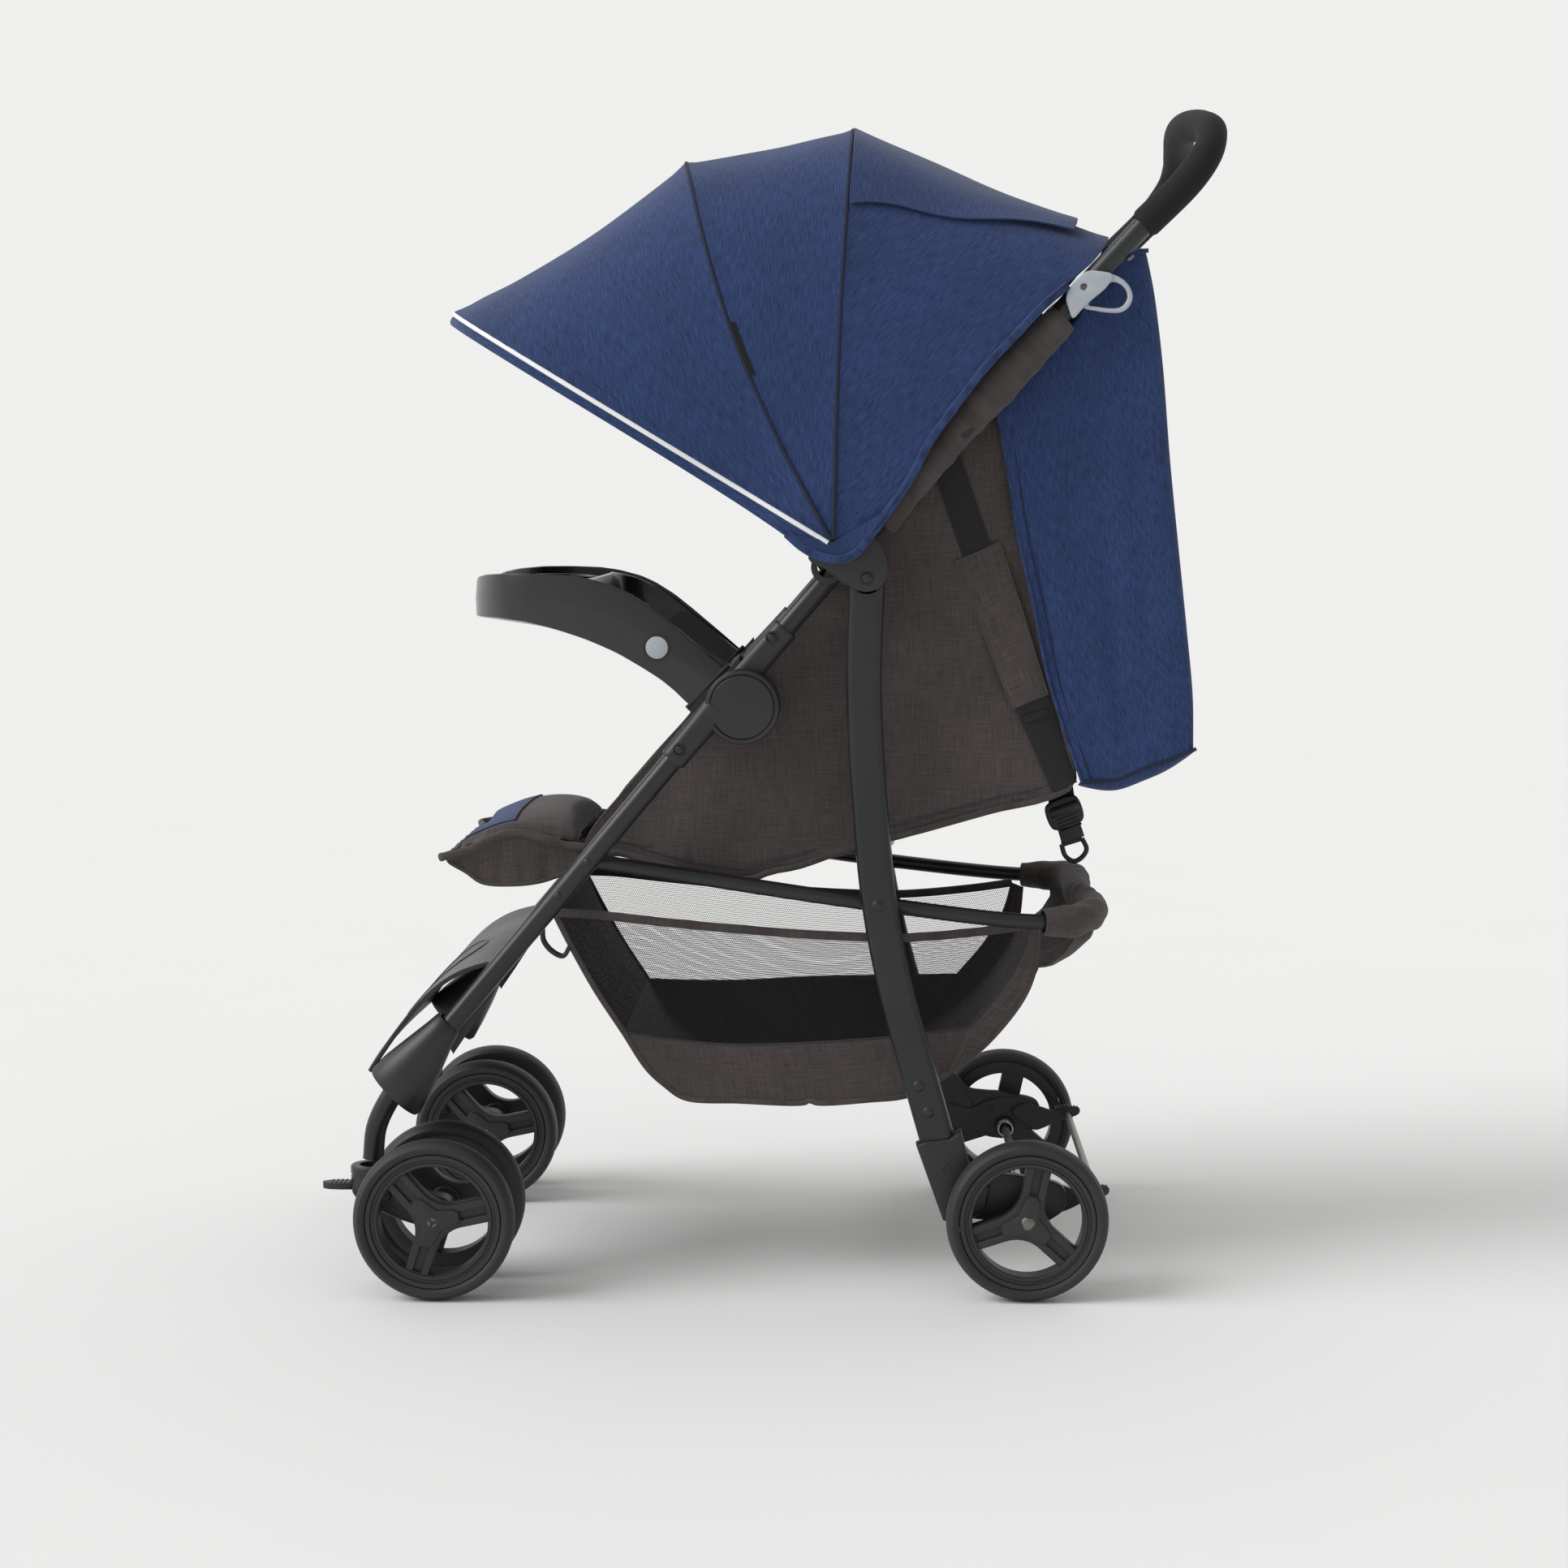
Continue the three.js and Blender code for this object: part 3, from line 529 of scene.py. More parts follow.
def studio_walls(tree):
    """Full light from the backdrop, less from the walls behind and beside the camera."""
    parts = node(tree, "ShaderNodeSeparateXYZ")
    tree.links.new(coordinates(tree, "Generated"), parts.inputs["Vector"])
    backdrop = span(tree, parts.outputs["Y"], -0.2, 0.6, 0, 1)
    wall = span(tree, parts.outputs["X"], -1, 1, *WALL_LIGHT)
    share = arithmetic(tree, "MULTIPLY", backdrop, arithmetic(tree, "SUBTRACT", 1.0, wall))
    return arithmetic(tree, "ADD", wall, share)


def stage():
    scene = bpy.context.scene
    scene.view_settings.view_transform = "Standard"
    camera = bpy.data.objects.new("camera", bpy.data.cameras.new("camera"))
    camera.data.lens, camera.data.sensor_width = LENS, SENSOR
    camera.location = CAMERA_AT
    camera.rotation_euler = (math.radians(90 - PITCH), 0, math.radians(YAW))
    scene.collection.objects.link(camera)
    scene.camera = camera
    world = bpy.data.worlds.new("studio")
    world.use_nodes = True
    back = world.node_tree.nodes["Background"]
    back.inputs["Color"].default_value = (*BACKGROUND, 1)
    # What the lens sees past the floor is the plain backdrop, whichever way it looks.
    seen = node(world.node_tree, "ShaderNodeLightPath").outputs["Is Camera Ray"]
    strength = arithmetic(world.node_tree, "MAXIMUM", studio_walls(world.node_tree), seen)
    world.node_tree.links.new(strength, back.inputs["Strength"])
    scene.world = world
    light = bpy.data.lights.new("key", "SUN")
    light.energy, light.angle = SUN_POWER, SUN_SOFT
    lamp = bpy.data.objects.new("key", light)
    lamp.rotation_euler = (-SUN_FROM).to_track_quat("-Z", "Y").to_euler()
    scene.collection.objects.link(lamp)
    floor_mesh = bpy.data.meshes.new("floor")
    body = bmesh.new()
    bmesh.ops.create_circle(body, cap_ends=True, segments=96, radius=FLOOR_R)
    body.to_mesh(floor_mesh)
    body.free()
    floor = bpy.data.objects.new("floor", floor_mesh)
    scene.collection.objects.link(floor)
    made, tree, shader = material("pale_floor", (FLOOR_TONE,) * 3, 1.0)
    shader.inputs["Specular IOR Level"].default_value = 0
    spread = noise(tree, coordinates(tree, "Object"), 2.5, 2)
    tone = ramp(tree, spread, 0.3, 0.7, (FLOOR_TONE * 0.995,) * 3, (FLOOR_TONE * 1.005,) * 3)
    tree.links.new(tone, shader.inputs["Base Color"])
    floor_mesh.materials.append(made)


WALL_LIGHT = 0.85, 0.35
FLOOR_LIGHT = 0.751
FLOOR_R = 60.0
FLOOR_TONE = 0.86
SUN_FROM = Vector((-1.0, -0.32, 0.85))
SUN_SOFT = math.radians(38)
# The sun adds to the floor just what the floor's own tone takes from the studio's light.
SUN_POWER = math.pi * BACKGROUND[0] * (1 / FLOOR_TONE - FLOOR_LIGHT) / SUN_FROM.normalized().z
stage()


# ---------------------------------------------------------------- wheels
TYRE_IN, RIM_IN, TYRE_HALF, RIM_HALF = 61.4, 49.5, 14.0, 11.0
SPOKE_HALF, STAR_FILLET = 11.2, 30.0
CAP_TIP = 24.6


def turned(points, angle):
    c, s = math.cos(angle), math.sin(angle)
    return [(x * c - y * s, x * s + y * c) for x, y in points]


def star_outline(reach, half, fillet):
    """Three spokes of equal width joined by round inner corners."""
    points = []
    corner = half / math.sin(math.radians(60))
    middle = corner + fillet / math.sin(math.radians(60))
    for k in range(3):
        spoke = math.radians(120 * k)
        points += turned([(reach, -half), (reach, half)], spoke)
        centre = turned([(middle, 0)], spoke + math.radians(60))[0]
        for a in np.linspace(math.radians(-90), math.radians(-150), 9):
            points.append((centre[0] + fillet * math.cos(spoke + a),
                           centre[1] + fillet * math.sin(spoke + a)))
    return points


def cap_solid(look):
    """Three-armed raised cap that rises to a point over the axle."""
    outline = []
    for k in range(3):
        arm = [(CAP_TIP - 3.5, -6.5), (CAP_TIP, -3.6), (CAP_TIP, 3.6), (CAP_TIP - 3.5, 6.5)]
        valley = [(11.0 * math.cos(math.radians(60)), 11.0 * math.sin(math.radians(60)))]
        outline += turned(arm + valley, math.radians(120 * k))
    n = len(outline)
    points = [(x, 0, z) for x, z in outline] + [(x * 0.97, -2.2, z * 0.97)
                                                for x, z in outline] + [(0, -6.0, 0)]
    faces = [(i, (i + 1) % n, n + (i + 1) % n, n + i) for i in range(n)]
    faces += [(n + i, n + (i + 1) % n, 2 * n) for i in range(n)] + [list(range(n))]
    return piece("cap", points, faces, look, 8)


def wheel_parts():
    """One tyre and one rim with its outer face towards -Y, centred on the origin of millimetres."""
    half = TYRE_HALF
    arc = [(WHEEL_R - 5.6 + 5.5 * math.cos(a), half * 0.93 * math.sin(a)) for a in
           np.linspace(-math.pi / 2, math.pi / 2, 15)]
    tyre_profile = [(TYRE_IN, -half + 2.5), (TYRE_IN + 1.6, -half + 0.8), (TYRE_IN + 3.5, -half),
                    (WHEEL_R - 5.6, -half), *arc[1:-1], (WHEEL_R - 5.6, half), (TYRE_IN + 3.5, half),
                    (TYRE_IN + 1.6, half - 0.8), (TYRE_IN, half - 2.5)]
    tyre = lathe("tyre", tyre_profile, (0, 0, 0), EVA, 96, crease=40)
    w = RIM_HALF
    ring_profile = [(RIM_IN, -w + 2), (RIM_IN + 0.8, -w + 0.6), (RIM_IN + 3.4, -w + 0.3),
                    (RIM_IN + 4.2, -w + 1.4), (TYRE_IN - 5.5, -w + 1.4), (TYRE_IN - 4.5, -w - 0.6),
                    (TYRE_IN - 0.9, -w - 0.9), (TYRE_IN - 0.25, -w + 1), (TYRE_IN - 0.25, w),
                    (TYRE_IN - 3, w + 0.3), (RIM_IN, w - 1)]
    ring = lathe("ring", ring_profile, (0, 0, 0), RIM, 96)
    star = star_outline(RIM_IN + 2.5, SPOKE_HALF, STAR_FILLET)
    base = plate("star", [star], -5.2, 6.5, RIM, 0.8)
    slots = []
    for k in range(3):
        slot = [(CAP_TIP + 0.6, -3.9), (RIM_IN - 1.0, -3.9), (RIM_IN - 1.0, 3.9), (CAP_TIP + 0.6, 3.9)]
        slots.append(turned(slot, math.radians(120 * k)))
    rails = plate("rails", [star_outline(RIM_IN + 1.6, SPOKE_HALF - 0.6, STAR_FILLET + 0.6), *slots],
                  -8.6, -4.6, RIM, 0.9)
    boss = lathe("boss", [(6, -4), (14, -4), (14, 12.5), (13, 13.6), (6, 13.6)], (0, 0, 0), RIM, 40)
    cap = cap_solid(RIM)
    cap.data.transform(Matrix.Translation((0, -8.7 * MM, 0)))
    rim = merged("rim", [ring, base, rails, boss, cap], 28)
    for part in (tyre, rim):
        part.data.transform(Matrix.Translation((-AXLE.x, 0, 0)))
    return tyre, rim


def set_wheels():
    tyre, rim = wheel_parts()
    places = []
    for label, side in SIDES:
        places.append((f"rear_{label}", 78, side))
        places.append((f"front_{label}_outer", 12, side))
        places.append((f"front_{label}_inner", 12, -side))
    for name, angle, facing in places:
        spot = middle_of(f"{name}_rim")
        flip = Matrix.Scale(-1, 4, (0, 1, 0)) if facing > 0 else Matrix.Identity(4)
        spin = Matrix.Rotation(-math.radians(angle), 4, "Y")
        for part, kind in ((tyre, "tyre"), (rim, "rim")):
            mesh = part.data.copy()
            mesh.transform(Matrix.Translation(spot) @ spin @ flip)
            if facing > 0:
                mesh.flip_normals()
            made = bpy.data.objects.new(f"{name}_{kind}_fine", mesh)
            bpy.context.scene.collection.objects.link(made)
            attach(made, f"{name}_wheel")
            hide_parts(f"{name}_{kind}")
    bpy.data.objects.remove(tyre)
    bpy.data.objects.remove(rim)


set_wheels()


# ---------------------------------------------------------------- frame tubes and hubs
TUBE_R = 9.5
FRONT_SLOPE, HANDLE_SLOPE = math.radians(50), math.radians(48.4)
HUB = (middle_of("hub_cap_left").x - AXLE.x) / MM, middle_of("hub_cap_left").z / MM
HUB_R = 33.5
HUB_OFFSET = 17
FRONT_Y = (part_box("front_tube_right")[1].y / MM) - TUBE_R
HANDLE_Y = (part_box("push_handle")[1].y / MM) - TUBE_R
CASTER_Y = middle_of("caster_right").y / MM
CASTER_X = -593
RAIL_PIVOT = (-396.7, 390.7)
LEG_PIVOT = (-145, 647)


def on_slope(origin, slope, along, off):
    return (origin[0] + along * math.cos(slope) - off * math.sin(slope),
            origin[1] + along * math.sin(slope) + off * math.cos(slope))


def front_line(side):
    x, z = on_slope(HUB, FRONT_SLOPE, -40, HUB_OFFSET)
    plan = [(x, FRONT_Y, z), (RAIL_PIVOT[0], FRONT_Y, RAIL_PIVOT[1]), (-480, FRONT_Y, 291.5),
            (-548, FRONT_Y, 211), (-571, CASTER_Y, 184), (CASTER_X + 4, CASTER_Y, 150),
            (CASTER_X, CASTER_Y, 119)]
    return smooth_path([(px, side * py, pz) for px, py, pz in plan], 90)


GRIP_HALF = [(98, 957, 1.0), (139, 998, 1.0), (156, 1023, 0.954), (161, 1041, 0.839), (158, 1052, 0.603),
             (153, 1059, 0.287)]


def grip_points():
    left = [(x, -HANDLE_Y * share, z) for x, z, share in GRIP_HALF]
    right = [(x, -y, z) for x, y, z in reversed(left)]
    return left + [(151, 0, 1061)] + right


def handle_line():
    x, z = on_slope(HUB, HANDLE_SLOPE, 40, HUB_OFFSET)
    ends = [(x, s * HANDLE_Y, z) for s in (-1, 1)]
    mids = [(-80, s * HANDLE_Y, 760.5) for s in (-1, 1)]
    return smooth_path([ends[0], mids[0], *grip_points(), mids[1], ends[1]], 220)


def hub_sleeve(name, slope, way, side, y, look):
    """Tapered sleeve from the hub disc along a tube, with a thicker lip at its mouth."""
    stations = [(16, 13.5), (26, 13.2), (38, 12.6), (60, 12.2), (73, 12.0), (75.6, 12.3), (77, 11.6)]
    line = [(*on_slope(HUB, slope, way * s, HUB_OFFSET), r) for s, r in stations]
    path = [(x, side * y, z) for x, z, _ in line]
    scale = [r / 12 for *_, r in line]
    return sweep(name, path, stadium(24, 23, 9.5, 8), look, scale, crease=40)


def washer(side):
    """Section of the raised ring round a sleeve's pin."""
    return [(4.4, 0), (6.2, 0), (5.8, side * 0.8), (4.8, side * 0.8)]


def frame_tubes():
    for label, side in SIDES:
        tube = sweep(f"front_tube_{label}_fine", front_line(side), circle(TUBE_R, 24), FRAME)
        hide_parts(f"front_tube_{label}")
        outer = FRONT_Y + 12
        rivets = [rivet("rivet", x, z, side * (FRONT_Y + TUBE_R - 0.7), side, 3.6, PLASTIC)
                  for x, z in ((-394.9, 392.6), (-421.5, 362.2))]
        disc_profile = [(0.01, side * 185.3), (HUB_R - 2, side * 185.3), (HUB_R, side * 187),
                        (HUB_R, side * 203.5), (HUB_R - 0.8, side * 205.6), (HUB_R - 2.6, side * 206.8),
                        (29.8, side * 206.9), (28.9, side * 206.2), (28.7, side * 204),
                        (0.01, side * 204)]
        disc = lathe(f"lower_hub_{label}_fine", disc_profile, (HUB[0], 0, HUB[1]), PLASTIC, 72)
        sleeve = hub_sleeve("sleeve", FRONT_SLOPE, -1, side, FRONT_Y, PLASTIC)
        ring = lathe("ring", washer(side), (-311.9, side * outer * 0.999, 493.9), PLASTIC, 32)
        pin = rivet("pin", -311.9, 493.9, side * (outer - 0.6), side, 4.2, PLASTIC, 1.8)
        hub = merged(f"lower_hub_{label}_fine", [disc, sleeve, ring, pin])
        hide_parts(f"lower_hub_{label}")
        cap_profile = [(0.01, side * 204.4), (28.3, side * 204.4), (28.4, side * 206.4),
                       (27.6, side * 207.2), (24, side * 207.6), (12, side * 208.2), (0.01, side * 208.4)]
        cap = lathe(f"hub_cap_{label}_fine", cap_profile, (HUB[0], 0, HUB[1]), PLASTIC, 72)
        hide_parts(f"hub_cap_{label}")
        trim = merged(f"front_tube_{label}_rivets", rivets)
        carry("front_frame", tube, hub, cap, trim)

        inner_profile = [(0.01, side * 164), (HUB_R - 2, side * 164), (HUB_R, side * 166),
                         (HUB_R, side * 183), (HUB_R - 1.5, side * 184.7), (0.01, side * 184.7)]
        inner = lathe(f"upper_hub_{label}_fine", inner_profile, (HUB[0], 0, HUB[1]), PLASTIC, 64)
        sleeve = hub_sleeve("sleeve", HANDLE_SLOPE, 1, side, HANDLE_Y, PLASTIC)
        pin_y = side * (HANDLE_Y + 11.5)
        ring = lathe("ring", washer(side), (-229.7, pin_y, 592.8), PLASTIC, 32)
        pin = rivet("pin", -229.7, 592.8, pin_y - side * 0.4, side, 4.2, PLASTIC, 1.8)
        upper = merged(f"upper_hub_{label}_fine", [inner, sleeve, ring, pin])
        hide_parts(f"upper_hub_{label}")
        carry("handle", upper)
    low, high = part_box("front_cross_tube")
    middle = middle_of("front_cross_tube")
    x, z = (middle.x - AXLE.x) / MM, middle.z / MM
    cross = sweep("front_cross_tube_fine", [(x, y, z) for y in np.linspace(low.y / MM, high.y / MM, 8)],
                  circle(7, 20), FRAME)
    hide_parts("front_cross_tube")
    carry("front_frame", cross)


def handle_parts():
    tube = sweep("push_handle_fine", handle_line(), circle(TUBE_R, 24), FRAME)
    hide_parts("push_handle")
    line = smooth_path(grip_points(), 120)
    reach = np.linspace(-1, 1, len(line))
    end = np.clip((1 - np.abs(reach)) / 0.018, 0, 1)
    grow = 0.86 + 0.14 * end ** 0.5
    hand = 1 + 0.05 * np.exp(-(reach / 0.35) ** 2) - 0.05 * np.exp(-((np.abs(reach) - 0.62) / 0.07) ** 2)
    foam = sweep("handle_foam_fine", line, circle(14.2, 32), FOAM, grow * hand, crease=50)
    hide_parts("handle_foam")
    screws = []
    for side in (-1, 1):
        head = lathe("screw",
                     [(0.01, 0), (4.2, 0), (4.2, 1.6), (3.2, 2.6), (1.6, 2.6), (1.5, 1.4), (0.01, 1.4)],
                     (0, 0, 0), DARK_STEEL, 24, "Z")
        head.data.transform(Matrix.Translation((-AXLE.x, 0, 0)))
        head.matrix_world = Matrix.Translation(at(86.5, side * HANDLE_Y,
                                                  929.5)) @ Matrix.Rotation(math.radians(138.4), 4, "Y")
        screws.append(head)
    bpy.context.view_layer.update()
    screw = merged("handle_screws", screws)
    carry("handle", tube, foam, screw)
    for label, side in SIDES:
        web = loop_of([(-197, 664), (-184, 688), (-165, 699), (-146, 690), (-129, 669), (-126.8, 650),
                       (-134, 638), (-147, 634.5), (-162, 640), (-177, 652)], 56)
        outer = plate(f"leg_bracket_{label}_fine", [web], side * 203.7, side * 208, PLASTIC, 1.2)
        inner = plate("web", [[(-193, 664), (-168, 697), (-150, 688), (-165, 640)]], side * 186,
                      side * 204, PLASTIC, 1)
        saddle = lathe("saddle",
                       [(9.6, side * 160), (15, side * 160), (15, side * 188), (9.6, side * 188)],
                       (-180, 0, 656), PLASTIC, 32)
        pin = rivet("pin", *LEG_PIVOT, side * 207.8, side, 5.2, PLASTIC, 2.4)
        ring = lathe("ring", [(5.4, 0), (7.2, 0), (6.9, side * 0.7), (5.7, side * 0.7)],
                     (LEG_PIVOT[0], side * 207.7, LEG_PIVOT[1]), PLASTIC, 32)
        bracket = merged(f"leg_bracket_{label}_fine", [outer, inner, saddle, pin, ring])
        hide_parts(f"leg_bracket_{label}")
        carry("handle", bracket)
        fold_pull(label, side)


def fold_pull(label, side):
    """Grey clip round the handle tube whose D-shaped loop the fingers pull."""
    body = loop_of([(30.2, 894), (35, 905), (48, 916.4), (60, 916.6), (71, 913.4), (66, 903), (52, 891),
                    (44, 883), (36.4, 875.5), (32.4, 884)], 64)
    hole = [(45.7 + 2.9 * math.cos(a), 903 + 2.9 * math.sin(a)) for a in full_turn(20)]
    shell = plate("shell", [body, hole], side * (HANDLE_Y + 10.2), side * (HANDLE_Y + 14.4), GREY, 1.5,
                  40)
    loop = loop_of([(44, 886.5), (58, 881.9), (70, 880.4), (79, 880.9), (86, 885.8), (88.9, 894),
                    (87, 902), (80, 909.8), (69, 914.5), (55, 913)], 72)
    gap = loop_of([(50, 887.6), (58.5, 885.6), (71, 884.3), (78.5, 885.5), (83.3, 890.5), (84.2, 896),
                   (82, 901.5), (77, 905.8), (70.5, 907.3), (62, 899)], 72)
    ring = plate("ring", [loop, gap], side * (HANDLE_Y + 7), side * (HANDLE_Y + 12.4), GREY, 1.9, 50)
    clasp = plate("clasp", [[(33, 886), (36, 900), (52, 914), (66, 912), (57, 899), (43, 885)]],
                  side * (HANDLE_Y - 10.8), side * (HANDLE_Y - 9.2), GREY, 0.6)
    pull = merged(f"fold_pull_{label}_fine", [shell, ring, clasp])
    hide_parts(f"fold_pull_{label}")
    dark = lathe(f"fold_pull_{label}_screw",
                 [(0.01, 0), (2.7, 0), (2.7, side * 1.2), (1.2, side * 1.6), (0.01, side * 0.9)],
                 (45.7, side * (HANDLE_Y + 10.4), 903), DARK_STEEL, 20)
    carry(f"fold_pull_{label}", pull, dark)


# ---------------------------------------------------------------- rear legs, axle and brakes
LEG_LINE = [LEG_PIVOT, (-147.5, 548), (-141.5, 439), (-133, 354), (-118, 277), (-99, 207), (-80, 140)]
LEG_Y = (188, 203)
LEG_WIDTH = 32
HOUSING_TOP = [(-99.4, 136.5), (-92, 139.8), (-80, 141), (-70, 142.2), (-59, 149.5)]


def rear_parts():
    for label, side in SIDES:
        middle = side * sum(LEG_Y) / 2
        line = smooth_path(in_plane(LEG_LINE, middle), 80)
        leg = sweep(f"rear_leg_{label}_fine", line, stadium(LEG_WIDTH, LEG_Y[1] - LEG_Y[0], 6.8, 8),
                    FRAME, crease=50)
        head = lathe("head",
                     [(0.01, side * LEG_Y[0]), (LEG_WIDTH / 2 - 1.5, side * LEG_Y[0]),
                      (LEG_WIDTH / 2, side * (LEG_Y[0] + 2)), (LEG_WIDTH / 2, side * (LEG_Y[1] - 2)),
                      (LEG_WIDTH / 2 - 1.5, side * LEG_Y[1]), (0.01, side * LEG_Y[1])],
                     (LEG_PIVOT[0], 0, LEG_PIVOT[1]), FRAME, 48)
        leg = merged(f"rear_leg_{label}_fine", [leg, head])
        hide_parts(f"rear_leg_{label}")
        studs = [rivet("stud", x, z, side * (LEG_Y[1] - 0.3), side, r, PLASTIC)
                 for x, z, r in ((-134.6, 353.5, 5.2), (-97.2, 190, 5.2), (-88.4, 166.2, 5.2))]
        trim = merged(f"rear_leg_{label}_rivets", studs)
        boot_line = [*HOUSING_TOP, (-52, 122), (-46, 113), (-33, 98), (-36, 80), (-52, 66), (-71, 66.5),
                     (-75, 68)]
        boot = plate(f"rear_housing_{label}_fine", [boot_line], side * 186, side * 207.6, PLASTIC, 2.2,
                     45)
        arm_line = loop_of([(-62, 132), (-50, 126), (-38, 112), (-22, 109), (-6, 108), (8, 104.5),
                            (22, 103), (33, 98), (37, 88), (34, 76), (24, 68), (10, 60), (-12, 60),
                            (-34, 66), (-54, 70), (-62, 84), (-66, 110)], 96)
        arm = plate("arm", [arm_line], side * 188, side * 199, PLASTIC, 1.6, 45)
        step_line = loop_of([(-58, 96), (-36, 92), (-18, 100), (0, 103), (16, 101), (30, 95), (34, 86),
                             (30, 77), (14, 66), (-4, 63), (-30, 68), (-54, 74)], 72)
        step = plate("step", [step_line], side * 185, side * 189, PLASTIC, 1.2, 45)
        collar = lathe("collar",
                       [(4.6, side * 181), (9.5, side * 181), (10.5, side * 183), (10.5, side * 209),
                        (4.6, side * 209)], (0, 0, WHEEL_R), PLASTIC, 36)
        dimple = lathe("dimple", [(2.6, 0), (4.8, 0), (4.4, side * 0.9), (3.0, side * 0.9)],
                       (-71.9, side * 207.4, 115.4), PLASTIC, 28)
        bolts = [rivet("bolt", x, z, side * 185.2, -side, r, PLASTIC, 1.6)
                 for x, z, r in ((22, 83, 5.2), (-14, 92, 2.2), (27, 70, 2.0))]
        ribs = [plate("rib", [[(x, 62.5), (x + 1.8, 62.5), (x + 1.8, 66.5), (x, 66.5)]], side * 187,
                      side * 200, PLASTIC, 0.4) for x in np.arange(-30, 10, 6.0)]
        housing = merged(f"rear_housing_{label}_fine", [boot, arm, step, collar, dimple, *bolts, *ribs])
        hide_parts(f"rear_housing_{label}")
        nut = lathe(f"rear_axle_cap_{label}",
                    [(0.01, side * 234.6), (6.5, side * 234.6), (6.2, side * 238), (4, side * 239.6),
                     (0.01, side * 239.9)], (0, 0, WHEEL_R), DARK_STEEL, 32)
        spring_line = [(7.2 * math.cos(a), side * (168 + 11 * a / (16 * math.pi)),
                        WHEEL_R + 7.2 * math.sin(a)) for a in np.linspace(0, 16 * math.pi, 200)]
        spring = sweep(f"axle_spring_{label}", spring_line, circle(0.9, 8), STEEL)
        carry("rear_legs", leg, trim, housing, nut, spring)
    axle = sweep("rear_axle_fine", [(0, y, WHEEL_R) for y in np.linspace(-239, 239, 24)], circle(4, 20),
                 STEEL)
    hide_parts("rear_axle")
    carry("rear_legs", axle)


def brake_parts():
    lever = loop_of([(8, 91), (20, 97), (34, 95), (48, 91), (60, 92.5), (70, 95), (76.5, 93), (76, 88),
                     (66, 83), (52, 79), (40, 73), (30, 70.5), (20, 78), (11, 83)], 72)
    parts = []
    for _, side in SIDES:
        parts.append(plate("lever", [lever], side * 176.2, side * 183.5, PLASTIC, 1.4, 45))
        for x in np.arange(52, 75, 3.0):
            z = 93.4 + 1.6 * math.sin((x - 50) / 8)
            parts.append(plate("tooth",
                               [[(x, z - 2), (x + 1.5, z - 2), (x + 1.5, z + 1.4), (x, z + 1.4)]],
                               side * 177.4, side * 182.3, PLASTIC, 0.3))
    pedals = merged("brake_pedals_fine", parts)
    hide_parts("brake_pedals")
    rod = sweep("brake_link_rod", [(64, y, 87) for y in np.linspace(-177, 177, 20)], circle(3.5, 18),
                DARK_STEEL)
    carry("brakes", pedals, rod)


# ---------------------------------------------------------------- casters and footrest
def caster_parts():
    for label, side in SIDES:
        y = side * CASTER_Y
        arm_line = loop_of([(-611, 92), (-606, 103), (-588, 104), (-570, 102), (-548, 90), (-524, 83),
                            (-517, 73), (-524, 63.5), (-545, 59.5), (-570, 66), (-592, 76), (-606, 84)],
                           84)
        arm = plate(f"caster_{label}_fine", [arm_line], y - 13.6, y + 13.6, PLASTIC, 3, 45)
        rib_line = loop_of([(-600, 92), (-585, 98), (-566, 94), (-548, 84), (-530, 77), (-540, 68),
                            (-562, 72), (-585, 82)], 60)
        cheeks = [plate("cheek", [rib_line], y + s * 13, y + s * 15, PLASTIC, 0.8, 45) for s in (-1, 1)]
        collar = lathe("collar",
                       [(11.5, 92), (19, 92), (20, 94), (20, 104.4), (19.2, 105), (19.2, 106.6),
                        (20.3, 107.2), (20.3, 112.8), (19, 114), (12.4, 114), (11.5, 112)],
                       (CASTER_X, y, 0), PLASTIC, 56, "Z")
        axle = sweep("axle", [(-532, y + s, 73) for s in np.linspace(-55.5, 55.5, 10)], circle(4, 18),
                     DARK_STEEL)
        bolts = [rivet("bolt", -578, 88, y + s * 14.8, s, 4.0, PLASTIC) for s in (-1, 1)]
        caster = merged(f"caster_{label}_fine", [arm, *cheeks, collar, axle, *bolts])
        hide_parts(f"caster_{label}")
        tab_line = [(-612, -8.6), (-622, -8.8), (-632, -7.2), (-637.5, -3.4), (-639.2, 0), (-637.5, 3.4),
                    (-632, 7.2), (-622, 8.8), (-612, 8.6), (-608, 6), (-608, -6)]
        rows = [[(x, y + w * k, z) for x, w in tab_line] for k, z in
                ((0.82, 91.6), (0.94, 92.1), (1, 93.2), (1, 96.2), (0.95, 97.4), (0.85, 97.9))]
        tab = grid(f"swivel_lock_{label}_fine", rows, PLASTIC, wrap=True, crease=30)
        caps = [piece("cap", rows[k], [list(range(len(tab_line)))], PLASTIC) for k in (0, -1)]
        ridges = [sweep("ridge", [(x, y + w, 98.0) for w in np.linspace(-half, half, 5)], circle(0.7, 8),
                        PLASTIC)
                  for x, half in ((-614, 7), (-618, 7.2), (-622, 7), (-626, 6.4), (-630, 5.4))]
        lock = merged(f"swivel_lock_{label}_fine", [tab, *caps, *ridges])
        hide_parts(f"swivel_lock_{label}")
        carry(f"caster_{label}", caster)
        carry(f"swivel_lock_{label}", lock)


STEP_HALF = 192
STEP_HOLES = [(-24, 0.30), (-8, 0.30), (8, 0.30), (24, 0.30), (-32, 0.42), (-12, 0.42), (12, 0.42),
              (32, 0.42), (-24, 0.54), (0, 0.54), (24, 0.54)]


